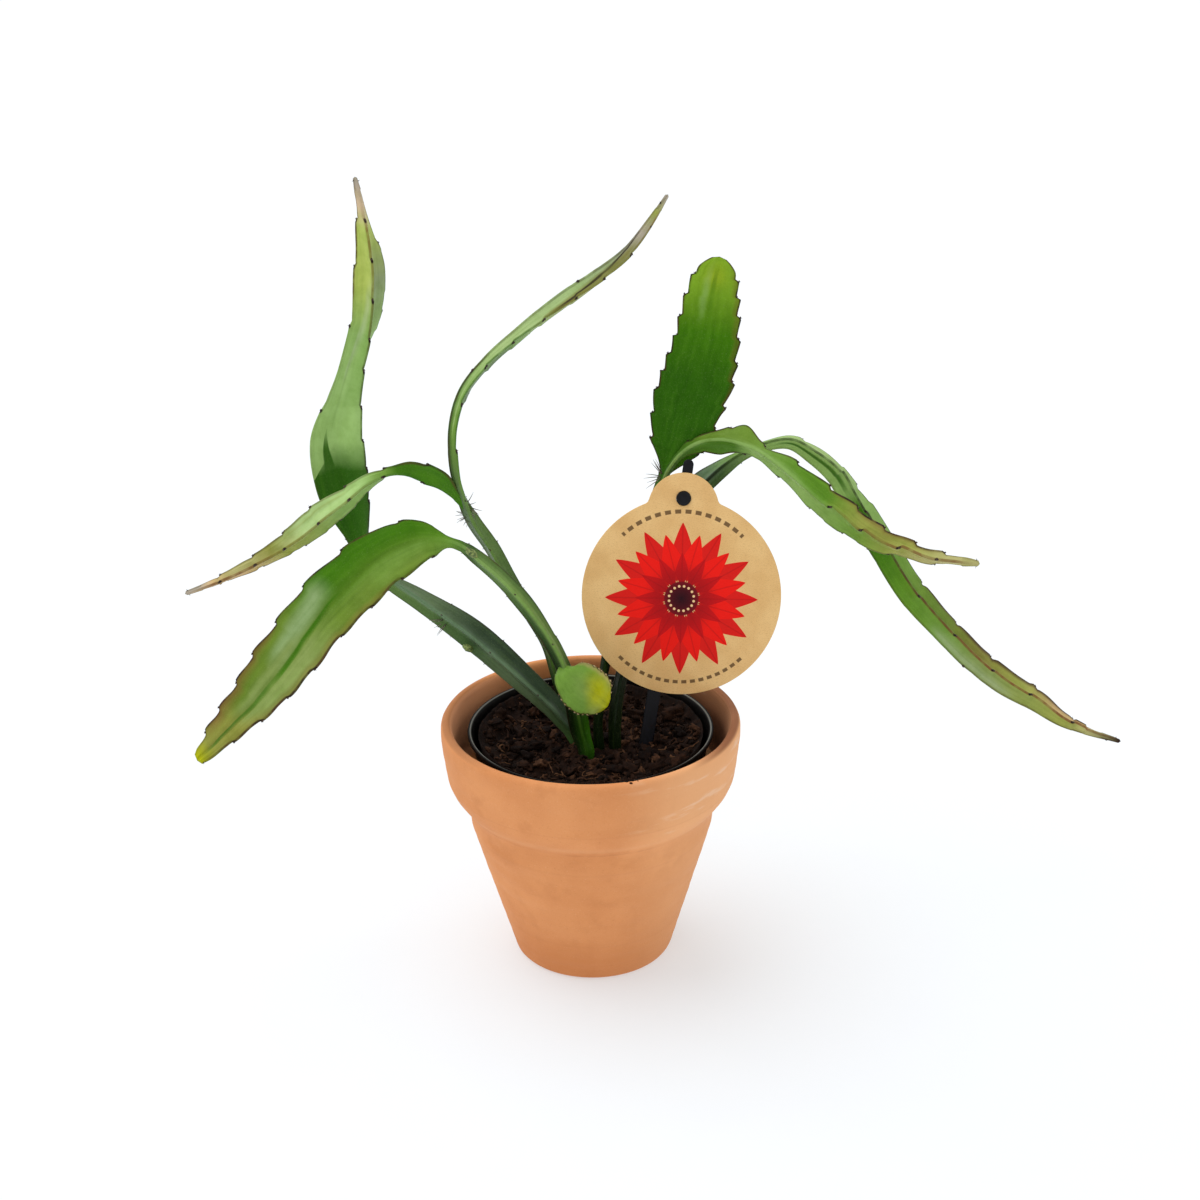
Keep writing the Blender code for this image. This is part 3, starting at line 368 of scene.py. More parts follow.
# For each face of a leaf: row number counted from its start, colour, and strength of the line on
# that face's margin. The crest's are the colour and strength of the line on the ridge.
# A light crest line along a stem is a painted highlight.
# The face colours carry painted light and shade as well as the leaf's own: facets lit or shaded, and painted
# shade near-black at some stems' foot.
LEAF_SKIN = {
    "tall_left": {
        "left": [
            (0, "moss", 0.2), (1.4, "slate", 0.2), (2.1, "slate", 0.2), (2.9, "moss", 0.3),
            (4.6, "stem", 0.3), (6, "moss", 0.3), (7, "forest", 0.2), (9.05, "forest", 0.2),
            (9.95, "celery", 0.2), (11.6, "celery", 0.3), (13, "apple", 0.2), (14.4, "wheat", 0.7),
            (16.2, "wheat", 0.8), (17, "blush", 0.5), (18, "ash", 0.3)],
        "right": [
            (0, "pine", 0.2), (1.4, "dusk", 0.3), (2.9, "dusk", 0.3), (3.8, "slate", 0.4),
            (6, "slate", 0.3), (8, "moss", 0.2), (13, "apple", 0.3), (14.6, "willow", 0.4),
            (16, "wheat", 0.5), (17, "blush", 0.5), (18, "ash", 0.3)],
        "back": [
            (0, "pine", 0), (6, "moss", 0), (9, "grass", 0), (14, "fresh", 0), (17, "tan", 0),
            (18, "ash", 0)],
        "crest": [
            (0, "pine", 0.3), (2, "lichen", 0.6), (6, "lichen", 0.6), (7.5, "plum", 0.6), (12, "plum", 0.6),
            (15, "bronze", 0.8), (16.2, "rust", 0.7), (17, "blush", 0.3), (18, "ash", 0.3)],
    },
    "broad_left": {
        "left": [
            (0, "night", 0.2), (1.8, "night", 0.2), (3.4, "pine", 0.3), (4.6, "moss", 0.4),
            (6, "stem", 0.4), (7.6, "moss", 0.4), (9, "fresh", 0.3), (10.4, "herb", 0.5),
            (13.6, "herb", 0.7), (15, "dill", 0.8), (16.6, "dill", 0.8), (18, "khaki", 0.8),
            (19.2, "khaki", 0.6), (20, "gold", 0.3)],
        "right": [
            (0, "forest", 0.2), (1.2, "forest", 0.2), (2.4, "moss", 0.3), (4, "stem", 0.3),
            (7, "stem", 0.4), (7.8, "moss", 0.4), (9, "grass", 0.3), (10.4, "leaf", 0.6),
            (13.4, "leaf", 0.8), (14.6, "herb", 0.8), (17.2, "herb", 0.9), (18.2, "khaki", 0.9),
            (19.2, "khaki", 0.6), (20, "gold", 0.3)],
        "back": [(0, "night", 0), (3, "moss", 0), (9, "fresh", 0), (20, "apple", 0)],
        "crest": [
            (0, "forest", 0.3), (2.4, "fresh", 0.6), (8, "apple", 0.6), (10, "grass", 0), (13, "grass", 0),
            (20, "gold", 0)],
    },
    "slender": {
        "left": [
            (0, "pine", 0.2), (3, "moss", 0.2), (5.4, "slate", 0.3), (7.6, "slate", 0.4),
            (8.6, "stem", 0.5), (10, "fresh", 0.5), (11.2, "apple", 0.5), (12.6, "pale", 0.4),
            (14.4, "pale", 0.4), (15.6, "sage", 0.5), (16.6, "ash", 0.5), (17.3, "olive", 0.4),
            (18, "ash", 0.3)],
        "right": [
            (0, "pine", 0.2), (3, "moss", 0.2), (6, "stem", 0.3), (9, "stem", 0.4), (13, "fresh", 0.5),
            (14.6, "olive", 0.5), (16.2, "olive", 0.5), (17.4, "olive", 0.5), (18, "ash", 0.3)],
        "back": [
            (0, "pine", 0), (8, "stem", 0), (11, "apple", 0), (14, "pale", 0), (17, "straw", 0),
            (18, "ash", 0)],
        "crest": [
            (0, "moss", 0.3), (3, "fresh", 0.5), (8, "fresh", 0.5), (10, "forest", 0.6),
            (13, "forest", 0.6), (14, "bronze", 0.7), (16, "bronze", 0.7), (17, "rust", 0.6),
            (18, "ash", 0.3)],
    },
    "arch_left": {
        "left": [
            (0, "grass", 0.4), (4, "forest", 0.5), (6, "apple", 0.5), (7.4, "apple", 0.5),
            (9.6, "olive", 0.6), (11, "tan", 0.6), (12.4, "tan", 0.5), (13, "ash", 0.3)],
        "right": [
            (0, "leaf", 0.5), (4.6, "leaf", 0.7), (5.2, "fresh", 0.5), (6.4, "celery", 0.4),
            (8.7, "pale", 0.4), (10, "khaki", 0.5), (11.2, "straw", 0.5), (12, "tan", 0.4),
            (12.5, "ash", 0.3), (13, "ash", 0.3)],
        "back": [(0, "forest", 0), (6, "grass", 0), (10, "olive", 0), (13, "ash", 0)],
        "crest": [
            (0, "forest", 0.3), (5, "forest", 0.4), (7, "bronze", 0.6), (9.6, "bronze", 0.8),
            (11, "rust", 0.9), (12, "rust", 0.8), (13, "ash", 0.4)],
    },
    "upright": {
        "left": [
            (0, "night", 0.2), (3, "night", 0.2), (5, "moss", 0.3), (7, "forest", 0.8), (12, "forest", 0.8),
            (14.5, "leaf", 0.8), (17.5, "lime", 0.8), (19, "lime", 0.8)],
        "right": [
            (0, "night", 0.2), (3, "night", 0.2), (5, "moss", 0.3), (7, "forest", 0.8), (12, "forest", 0.8),
            (14.3, "leaf", 0.8), (17.5, "lime", 0.8), (19, "lime", 0.8)],
        "back": [(0, "night", 0), (5, "moss", 0), (8, "grass", 0), (19, "fresh", 0)],
        "crest": [
            (0, "night", 0.3), (6, "leaf", 0.1), (9, "leaf", 0.05), (15, "leaf", 0.1), (17, "forest", 0.35),
            (19, "lime", 0.2)],
    },
    "arch_right": {
        "left": [
            (0, "moss", 0.3), (2.4, "ivy", 0.5), (3.2, "meadow", 0.8), (5.4, "meadow", 0.9),
            (6.4, "fresh", 0.6), (7.5, "grass", 0.8), (9, "grass", 0.9), (10.8, "olive", 0.9),
            (12, "khaki", 0.9), (13.2, "olive", 0.8), (15, "straw", 0.5), (16, "straw", 0.3)],
        "right": [
            (0, "moss", 0.3), (2, "ivy", 0.4), (3.4, "ivy", 0.8), (4.8, "ivy", 0.8), (6, "apple", 0.3),
            (8, "apple", 0.4), (11, "fresh", 0.5), (12.6, "olive", 0.5), (14, "straw", 0.5),
            (16, "straw", 0.3)],
        "back": [(0, "grass", 0), (9, "fresh", 0), (16, "straw", 0)],
        "crest": [
            (0, "apple", 0.5), (5, "apple", 0.6), (7, "apple", 0.3), (9, "grass", 0.2), (10, "bronze", 0.8),
            (12, "rust", 0.7), (15, "rust", 0.8), (16, "straw", 0.5)],
    },
    "long_right": {
        "left": [
            (0, "night", 0.2), (3, "night", 0.2), (5.4, "dusk", 0.5), (6.6, "lichen", 0.8),
            (7.6, "fresh", 0.5), (8.8, "apple", 0.3), (11, "pale", 0.4), (13.2, "apple", 0.9),
            (15, "fresh", 1), (16.8, "herb", 1), (18.2, "bronze", 0.9), (19.6, "olive", 0.9),
            (20.6, "tan", 0.9), (21.6, "tan", 0.9), (22.2, "straw", 0.5), (23, "plum", 0.6)],
        "right": [
            (0, "night", 0.2), (3, "night", 0.3), (7, "moss", 0.3), (9, "apple", 0.3), (12.7, "apple", 0.3),
            (13.3, "leaf", 0.3), (14.4, "leaf", 0.3), (15.6, "grass", 0.3), (17, "fresh", 0.3),
            (18.4, "dill", 0.4), (21, "olive", 0.5), (22, "straw", 0.5), (23, "plum", 0.6)],
        "back": [(0, "pine", 0), (8, "fresh", 0), (20, "olive", 0), (23, "plum", 0)],
        "crest": [
            (0, "night", 0.4), (6, "night", 0.5), (12, "night", 0.7), (14, "plum", 0.8), (18, "rust", 0.95),
            (22, "rust", 0.9), (23, "plum", 0.6)],
    },
    "pad": {
        "left": [
            (0, "fresh", 0.3), (2.8, "fresh", 0.3), (4.2, "dill", 0.3), (5.2, "gold", 0.3),
            (6, "gold", 0.3)],
        "right": [
            (0, "fresh", 0.3), (2.4, "fresh", 0.3), (4, "fresh", 0.3), (5, "dill", 0.3), (6, "gold", 0.3)],
        "back": [(0, "fresh", 0), (6, "lime", 0)],
        "crest": [(0, "apple", 0), (6, "gold", 0)],
    },
}
# How far across a leaf its two faces' colours run into each other.
LEAF_BLEND = {"broad_left": 0.75, "upright": 0.4, "pad": 0.6}
# Soft streaks on a leaf's front: row, place across and half width at both ends, how soft, colour, strength.
# Some are the leaf's own colour, others painted sheen, highlight and shade, as noted.
LEAF_STREAKS = {
    "tall_left": [
        # painted highlight along the stem's ridge
        ((1, -0.02, 0.16), (5, -0.02, 0.16), 1, "lichen", 0.6),
        # painted light: the lobe that curls forward
        ((8, -1, -0.8), (10, -1, 0.89), 0.08, "celery", 0.85),
        # painted shade: the dark V in the valley between the wings
        ((8.9, -0.46, 0.24), (10.3, -0.52, 0.02), 0.3, "forest", 0.95),
        # painted highlight along a crease
        ((11.6, -0.44, 0.12), (14.6, -0.05, 0.12), 1, "mist", 0.4),
        ((11, -0.16, 0.14), (14.4, 0, 0.1), 1, "grass", 0.35),
        ((13.8, -0.97, 0.08), (16.4, -0.95, 0.2), 0.9, "rust", 0.3),
    ],
    "broad_left": [
        # painted highlight down the middle of the stem
        ((2.4, 0.14, 0.34), (7.4, 0.05, 0.4), 1, "apple", 0.45),
        ((9.6, -0.2, 0.5), (12.6, -0.5, 0.5), 1, "fresh", 0.5),
        # painted sheen
        ((13.3, 0.54, 0.4), (15.8, 0.34, 0.28), 1, "balm", 0.85),
        # lighter bands on both sides of the midrib groove: painted highlight
        ((14.6, 0.28, 0.16), (17.8, 0.26, 0.24), 1, "dill", 0.9),
        ((14.2, -0.28, 0.22), (17.8, -0.3, 0.26), 1, "dill", 0.9),
        ((14.2, 1, 0.16), (17.4, 0.8, 0.46), 1, "herb", 1),
        ((14.8, 1, 0.16), (19, 0.9, 0.5), 1, "rust", 0.68),
        ((1.6, 1, 0.3), (6.6, 1, 0.3), 1, "moss", 0.8),
        ((11.8, -1, 0.16), (19.2, -0.95, 0.34), 0.9, "bronze", 0.65),
        # the midrib groove as a dark line: painted shade
        ((13.2, 0.08, 0.07), (16.2, 0.02, 0.08), 1, "leaf", 0.95),
        ((16, 0.02, 0.07), (19.6, 0, 0.06), 1, "ivy", 0.85),
    ],
    "slender": [
        # painted shade on both sides of the lower leaf, which leaves its middle light
        ((7, -1, 0.6), (12.2, -1, 0.34), 1, "moss", 1),
        ((7, 1, 0.8), (12.8, 1, 0.7), 1, "moss", 0.8),
        ((13.4, -0.02, 0.14), (16.4, -0.3, 0.44), 0.9, "bronze", 0.85),
        ((13.7, -0.02, 0.05), (15.4, -0.32, 0.09), 0.6, "plum", 0.9),
        ((15.2, -0.28, 0.09), (16.6, -0.92, 0.14), 0.6, "plum", 0.9),
        ((9.8, -0.45, 0.12), (13.8, -0.4, 0.12), 1, "pale", 0.6),
    ],
    "upright": [
        ((10.5, 0.95, 0.05), (18.4, 0.88, 0.2), 1, "rust", 0.28),
        # painted sheen
        ((15, -0.3, 0.1), (18.5, -0.28, 0.26), 1, "apple", 0.45),
        ((16.6, 0, 0.6), (18.9, 0, 0.9), 1, "gold", 0.3),
    ],
    "arch_left": [
        ((6.6, 0.5, 0.14), (10, 0.5, 0.14), 1, "olive", 0.3),
        ((8.8, 0.1, 0.3), (11, 0.1, 0.4), 1, "bronze", 0.35),
        ((6.2, 0.98, 0.08), (12, 0.9, 0.3), 0.9, "bronze", 0.4),
    ],
    "arch_right": [
        # painted highlight along the ridge, brightest at the bend
        ((0.6, 0, 0.12), (2.6, 0, 0.1), 0.9, "apple", 0.6),
        ((2.6, 0, 0.12), (3.2, 0, 0.12), 1, "pale", 0.7),
        ((4.8, 0.1, 0.3), (8, 0.1, 0.4), 1, "apple", 0.55),
        ((8.6, -1, 0.25), (14.4, -0.95, 0.6), 0.9, "rust", 0.48),
    ],
    "long_right": [
        ((5.2, -0.04, 0.1), (7.6, -0.04, 0.1), 0.8, "night", 0.7),
        ((9.4, 0.28, 0.1), (12.8, 0.2, 0.12), 0.7, "forest", 0.9),
        # painted sheen
        ((16.8, 0.55, 0.4), (19.4, 0.6, 0.4), 1, "mist", 0.45),
        ((16, -0.97, 0.1), (21.8, -0.95, 0.45), 0.9, "rust", 0.5),
        ((15.6, -1, 0.12), (22, -1, 0.34), 0.7, "plum", 0.8),
    ],
    "pad": [
        ((1.6, -0.1, 0.5), (5, -0.1, 0.8), 1, "dill", 0.5),
        ((2.4, -0.6, 0.45), (6.4, 0, 1.3), 1, "gold", 1),
        ((0.4, -0.97, 0.14), (5, -0.97, 0.18), 0.9, "tan", 0.5),
        ((1, 0.99, 0.05), (5.6, 0.97, 0.1), 0.9, "rust", 0.5),
    ],
}
STREAK_OUT = 3.0               # how far a streak fades beyond its ends, and inside them
STREAK_IN = 8.0
# How glossy each leaf is.
LEAF_GLOSS = {
    "tall_left": 0.1, "broad_left": 0.08, "slender": 0.14, "arch_left": 0.12, "upright": 0.04,
    "arch_right": 0.12, "long_right": 0.1, "pad": 0.12,
}
NO_RIDGE = (0, 1, (20, 20))
# Left margin, right margin and ridge of each leaf: depth of the lobes, how hollow they run up to
# their tooth, and their lengths from the first to the last. Then the side-to-side wave, the
# channel in degrees, the sideways step of the ridge at each tooth, and the row its teeth start at.
LEAF_EDGES = {
    "tall_left": ((0.9, 0.5, (60, 28, 14)), (0.5, 0.5, (40, 26)), (0.8, 0.5, (17, 17)), 0.4, 0, 0.3, 0),
    "broad_left": ((0.9, 0.8, (18, 21, 19, 16)), (1.3, 0.8, (26, 20, 16, 9)), NO_RIDGE, 0.6, 13, 0, 0),
    "slender": ((0.2, 0.5, (70, 60)), (0.4, 0.5, (60, 50)), (0.7, 0.5, (20, 15)), 0.2, 0, 0.3, 0),
    "arch_left": ((0.6, 0.5, (22, 16)), (0.9, 0.7, (18, 15)), (1.2, 0.7, (17, 15)), 0.4, 0, 0.7, 0),
    "upright": ((1.8, 1.2, (13, 9, 8.5, 8)), (1.8, 1.2, (13, 9.5, 9, 8.5)), NO_RIDGE, 0.3, 0, 0, 0),
    "arch_right": ((1.4, 0.8, (18, 15)), (0.7, 0.5, (22, 18)), (1.2, 0.8, (19, 17)), 0.4, 0, 1.3, 9),
    "long_right": ((1.4, 0.5, (30, 24)), (0.4, 0.5, (110, 90)), (1.4, 0.8, (25, 24)), 0.4, 0, 1.6, 12),
    "pad": ((0.5, 0.8, (2.4, 2)), (0.5, 0.8, (2.4, 2)), NO_RIDGE, 0.1, 0, 0, 0),
}
STEM_LOBE = 26.0               # distance between the areoles of a stem
NOTCH = 0.92                   # place of an areole in its lobe
TOOTH_REACH = 1.1              # how far an areole darkens the leaf
STEM_SHARE = 0.25              # how deep the lobes are on a stem
POINTED = 1.5                  # leaves that end narrower than this are pointed
POINTED_FADE = 8.0             # how far before the tip a leaf's lobes fade out
BLUNT_FADE = 2.5
HAIR_COUNT = 3
BRISTLE_COUNT = 8
LEAF_SEED = 11


def srgb(*values):
    """Linear colour of three sRGB values, 0 to 255."""
    shares = [value / 255.0 for value in values]
    return (*(s / 12.92 if s <= 0.04045 else ((s + 0.055) / 1.055) ** 2.4 for s in shares), 1.0)


class Value:
    """A node's output, with arithmetic that lays out more nodes."""

    def __init__(self, shade, socket):
        self.shade = shade
        self.socket = socket

    def math(self, operation, *others):
        return self.shade.node("ShaderNodeMath", (self, *others), operation=operation)

    __add__ = partialmethod(math, "ADD")
    __sub__ = partialmethod(math, "SUBTRACT")
    __mul__ = partialmethod(math, "MULTIPLY")
    __truediv__ = partialmethod(math, "DIVIDE")
    __abs__ = partialmethod(math, "ABSOLUTE")

    def __rsub__(self, other):
        return self.shade.node("ShaderNodeMath", (other, self), operation="SUBTRACT")

    def span(self, low, high, to_low=0.0, to_high=1.0, kind="SMOOTHSTEP"):
        """Maps low to high onto to_low to to_high."""
        feeds = (self, low, high, to_low, to_high)
        return self.shade.node("ShaderNodeMapRange", feeds, interpolation_type=kind)


def distance(a, b):
    return (a * a + b * b).math("SQRT")


class Shade:
    """A Principled material whose nodes are laid out by short calls. Three numbers are an sRGB colour."""

    def __init__(self, name, gloss=0.5):
        self.material = bpy.data.materials.new(name)
        self.material.use_nodes = True
        self.tree = self.material.node_tree
        self.surface = self.tree.nodes["Principled BSDF"]
        self.surface.inputs["Specular IOR Level"].default_value = gloss

    def feed(self, socket, value):
        if isinstance(value, Value):
            self.tree.links.new(value.socket, socket)
        else:
            is_srgb = isinstance(value, tuple) and len(value) == 3
            socket.default_value = srgb(*value) if is_srgb else value

    def node(self, kind, feeds=(), out=0, **settings):
        """Adds a node, feeds its inputs by number or name, and gives one of its outputs."""
        made = self.tree.nodes.new(kind)
        for key, value in settings.items():
            setattr(made, key, value)
        for key, value in feeds.items() if isinstance(feeds, dict) else enumerate(feeds):
            self.feed(made.inputs[key], value)
        return Value(self, made.outputs[out])

    def attribute(self, name):
        return self.node("ShaderNodeAttribute", out="Fac", attribute_name=name)

    def place(self):
        return self.node("ShaderNodeTexCoord", out="Object")

    def pot_place(self):
        """Metres to the right, to the back and up from the middle of the pot's foot."""
        split = self.node("ShaderNodeSeparateXYZ", (self.place(),)).socket.node
        x, y, z = (Value(self, socket) for socket in split.outputs)
        return x - POT_AXIS[0] * MM, y, z

    def vector(self, *places):
        return self.node("ShaderNodeCombineXYZ", places)

    def noise(self, scale, detail=2.0, roughness=0.5, vector=None):
        feeds = {"Vector": vector or self.place(), "Scale": scale, "Detail": detail, "Roughness": roughness}
        return self.node("ShaderNodeTexNoise", feeds)

    def mix(self, factor, a, b, blend="MIX"):
        return self.node("ShaderNodeMix", {0: factor, 6: a, 7: b}, 2, data_type="RGBA", blend_type=blend)

    def coat(self, mask, colour, blend="MIX"):
        """Lays a colour over the present one, as far as the mask says."""
        self.colour = self.mix(mask, self.colour, colour, blend)

    def ramp(self, value, stops):
        """Colour and strength that stops of (place, colour) give at a value."""
        colour = self.node("ShaderNodeValToRGB", (value,))
        made = colour.socket.node
        elements = made.color_ramp.elements
        elements[0].position, elements[0].color = stops[0]
        elements[1].position, elements[1].color = stops[-1]
        for position, tint in stops[1:-1]:
            elements.new(position).color = tint
        return colour, Value(self, made.outputs[1])

    def bump(self, height, strength, distance):
        raised = self.node("ShaderNodeBump", {"Strength": strength, "Distance": distance, "Height": height})
        self.feed(self.surface.inputs["Normal"], raised)

    def finish(self, roughness):
        self.feed(self.surface.inputs["Base Color"], self.colour)
        self.feed(self.surface.inputs["Roughness"], roughness)
        return self.material


def polar(radius, angle):
    return radius * math.cos(angle), radius * math.sin(angle)


def linked(name, data):
    """A new object in the scene."""
    made = bpy.data.objects.new(name, data)
    bpy.context.scene.collection.objects.link(made)
    return made


def shell_volume(points, faces):
    """Six times the volume inside a shell, negative where its faces look inwards."""
    triangles = np.array([(face[0], *face[i:i + 2]) for face in faces for i in range(1, len(face) - 1)])
    a, b, c = (points[triangles[:, i]] for i in range(3))
    return np.einsum("ij,ij->", a, np.cross(b, c))


class Piece:
    """Gathers closed shells in millimetres, with values for their points, into one object."""

    def __init__(self, name):
        self.name = name
        self.shells = []

    def add(self, points, faces, slot=0, **values):
        """Adds one closed shell, with its faces turned outwards."""
        points = np.asarray(points, float)
        if shell_volume(points, faces) < 0:
            faces = [face[::-1] for face in faces]
        self.shells.append((points, faces, slot, values))

    def make(self, materials, smooth_angle=None):
        shells = self.shells
        starts = np.cumsum([0] + [len(shell[0]) for shell in shells]).tolist()
        points = (np.concatenate([shell[0] for shell in shells]) + POT_AXIS) * MM
        faces = [[v + start for v in face] for start, shell in zip(starts, shells) for face in shell[1]]
        mesh = bpy.data.meshes.new(self.name)
        mesh.from_pydata(points.tolist(), [], faces)
        for found in materials:
            mesh.materials.append(found)
        mesh.polygons.foreach_set("material_index", [shell[2] for shell in shells for _ in shell[1]])
        for key in dict.fromkeys(key for shell in shells for key in shell[3]):
            layer = mesh.attributes.new(key, "FLOAT", "POINT")
            parts = [np.zeros(len(shell[0])) + shell[3].get(key, 0.0) for shell in shells]
            layer.data.foreach_set("value", np.concatenate(parts))
        mesh.shade_smooth()
        if smooth_angle:
            mesh.set_sharp_from_angle(angle=math.radians(smooth_angle))
        mesh.update()
        made = linked(self.name, mesh)
        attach(made, "root")
        return made


def mesh_data(made):
    """Points and faces of a bmesh, which is freed."""
    points = np.array([v.co for v in made.verts])
    faces = [[v.index for v in face.verts] for face in made.faces]
    made.free()
    return points, faces


def ball(subdivisions):
    """Points and faces of a unit icosphere."""
    made = bmesh.new()
    bmesh.ops.create_icosphere(made, subdivisions=subdivisions, radius=1.0)
    return mesh_data(made)


def skin(rings, around, closed=False):
    """Faces between rings of points that follow each other, and from the last to the first if closed."""
    faces = []
    for i in range(rings if closed else rings - 1):
        here, after = i * around, (i + 1) % rings * around
        for k in range(around):
            j = (k + 1) % around
            faces.append((here + k, here + j, after + j, after + k))
    return faces


def tube(points, radii, sides):
    """Points and faces of a closed tube along points, with a radius at each."""
    points = [Vector(p) for p in points]
    rings = []
    guide = Vector((0.31, 0.17, 0.93))
    turns = [2 * math.pi * k / sides for k in range(sides)]
    for i, point in enumerate(points):
        along = (points[min(i + 1, len(points) - 1)] - points[max(i - 1, 0)]).normalized()
        across = along.cross(guide).normalized()
        other = along.cross(across)
        rings += [point + (across * math.cos(a) + other * math.sin(a)) * radii[i] for a in turns]
    last = (len(points) - 1) * sides
    return np.array(rings), [*skin(len(points), sides), tuple(reversed(range(sides))),
                             tuple(range(last, last + sides))]


def hermite(rows, along, start=None):
    """Reads a smooth curve through rows at distances along them, with its slope."""
    rows = np.asarray(rows, float)
    steps = np.linalg.norm(np.diff(rows[:, :3], axis=0), axis=1)
    knots = np.concatenate([[0.0], np.cumsum(steps)])
    slopes = np.gradient(rows, knots, axis=0)
    if start is not None:
        slopes[0, :3] = start
    at = np.clip(along, 0.0, knots[-1] - 1e-9)
    i = np.searchsorted(knots, at, side="right") - 1
    span = (knots[i + 1] - knots[i])[:, None]
    t = ((at - knots[i])[:, None]) / span
    a, b, ma, mb = rows[i], rows[i + 1], slopes[i] * span, slopes[i + 1] * span
    value = ((2 * t**3 - 3 * t**2 + 1) * a + (t**3 - 2 * t**2 + t) * ma
             + (3 * t**2 - 2 * t**3) * b + (t**3 - t**2) * mb)
    slope = ((6 * t**2 - 6 * t) * a + (3 * t**2 - 4 * t + 1) * ma
             + (6 * t - 6 * t**2) * b + (3 * t**2 - 2 * t) * mb) / span
    return value, slope, knots


def tooth(phase, rise):
    """Height of a lobe's outline, 0 at its notch and 1 at its tooth."""
    if phase < LOBE_PEAK:
        return (phase / LOBE_PEAK) ** rise
    return 1.0 - (phase - LOBE_PEAK) / (1.0 - LOBE_PEAK)


def lobe_ends(begin, length, sizes, draw):
    """Ends of an edge's lobes: even ones on the stem, then lengths that run through sizes."""
    stem = max(1, round(begin / STEM_LOBE))
    ends = list(np.linspace(0.0, begin, stem + 1)) if begin > SHORTEST_STEM else [begin]
    first = len(ends) - 1
    while ends[-1] < length:
        share = (ends[-1] - begin) / (length - begin)
        size = np.interp(share, np.linspace(0, 1, len(sizes)), sizes)
        ends.append(ends[-1] + size * draw.uniform(0.88, 1.12))
    ends = np.array(ends)
    ends[first:] = begin + (ends[first:] - begin) * (length - begin) / (ends[-1] - begin)
    return ends


def lobe_at(ends, here):
    """How many lobes lie before a place, with the fraction of its own, and that lobe's length."""
    number = int(np.clip(np.searchsorted(ends, here, side="right") - 1, 0, len(ends) - 2))
    size = ends[number + 1] - ends[number]
    return number + min(max((here - ends[number]) / size, 0.0), 1.0), size


def half_section(wing, bend, core, half, top, near=None):
    """Points of a section's right side from its back to its crest, each with its place across the leaf."""
    edge = EDGE / 2
    way = Vector((math.cos(bend), -math.sin(bend)))
    out = Vector((math.sin(bend), math.cos(bend)))
    middle = (edge + core) * 0.55
    outer = edge + (middle - edge) * 0.4
    band = 1.0 - min(RIM / wing, 0.4)
    root = min(0.9 / wing + 0.12, 0.6)
    foot = way * root * wing + out * core * 0.85
    crest = Vector((half, top))
    near = near or 1.0 - min(0.9 / max((crest - foot).length, 0.1), 0.35)
    return [
        (way * wing * WING_MID - out * middle, WING_MID), (way * (wing * band) - out * outer, band),
        (way * wing - out * edge, 1), (way * wing + out * edge, 1), (way * (wing * band) + out * outer, band),
        (way * ((band + root) / 2 * wing) + out * middle * 1.05, (band + root) / 2), (foot, root),
        (foot.lerp(crest, 0.5), root * 0.5), (foot.lerp(crest, near), root * 0.2), (crest, 0.02),
    ], near


def section(left, right, ridge, channel):
    """Twenty-one points of a ribbed leaf's section, from the left margin round its back, with places."""
    has_fold = ridge > CORE / 2 + 0.1
    bend = math.radians(FOLD * min(1.0, 2 * ridge / (left + right)) * has_fold - channel)
    core = min(CORE / 2, 0.55 * (left + right) / 2 + 0.2)
    half = min(EDGE / 2, 0.3 * min(left, right) + 0.1)
    top = max(ridge, 0.5 * core)
    side, near = half_section(left, bend, core, half, top)
    other = half_section(right, bend, core, half, top, near)[0]
    side = [(Vector((-point.x, point.y)), -place) for point, place in side]
    return zip(*side[3::-1], (Vector((0.0, -core)), 0), *other, *side[:3:-1])


def frame_at(slope, turn):
    """Across and outward directions of a section whose route runs along slope."""
    along = Vector(slope).normalized()
    out = (FRONT - along * FRONT.dot(along)).normalized()
    across = along.cross(out)
    angle = math.radians(turn)
    outward = out * math.cos(angle) + across * math.sin(angle)
    return along.cross(outward), outward


def cut_corners(ring):
    """Rounds a closed ring by cutting each corner at a quarter of its sides."""
    after = np.roll(ring, -1, axis=0)
    return np.stack([0.75 * ring + 0.25 * after, 0.25 * ring + 0.75 * after], 1).reshape(-1, ring.shape[1])


def leaf_ring(row, slope, lobes, fades, edges, channel, rounding, root_r):
    """One ring's rows of x, y, z and point values: across, edge, crest, front and tooth."""
    phases = [number % 1.0 for number, size in lobes]
    closes = [math.exp(-((((phase - NOTCH + 0.5) % 1.0 - 0.5) * size / TOOTH_REACH) ** 2)) * fade
              for phase, (number, size), fade in zip(phases, lobes, fades)]
    lows = [fades[i] * (1.0 - tooth(phases[i], edges[i][1])) for i in range(3)]
    cuts = [edges[i][0] * lows[i] for i in range(3)]
    left, right = (max(row[3 + i] - cuts[i], 0.8) for i in range(2))
    has_ridge = row[5] > CREST_FROM
    points, places = section(left, right, row[5] - cuts[2] * has_ridge, channel)
    sways = [edges[3] * fades[i] * math.sin(2 * math.pi * phases[i]) for i in range(2)]
    across, outward = frame_at(slope[:3], row[6])
    centre = Vector(row[:3])
    made = []
    for i, (point, place, degrees) in enumerate(zip(points, places, ROUND_ANGLES)):
        is_edge, is_crest = float(i in EDGE_POINTS), float(i in CREST_POINTS)
        point = point + Vector((0.0, sways[int(place > 0)] * SWAY_SHARES.get(i, 0.0)))
        point = point - Vector((edges[5] * lows[2] * STEP_SHARES.get(i, 0.0) * has_ridge, 0.0))
        point = point.lerp(Vector(polar(1.0, math.radians(degrees))) * root_r, rounding)
        at = centre + across * point[0] + outward * point[1]
        close = closes[2] * is_crest * has_ridge + is_edge * closes[int(place > 0)]
        made.append((*at, place, is_edge, is_crest, float(i not in BACK_POINTS), close))
    return np.array(made), across, outward


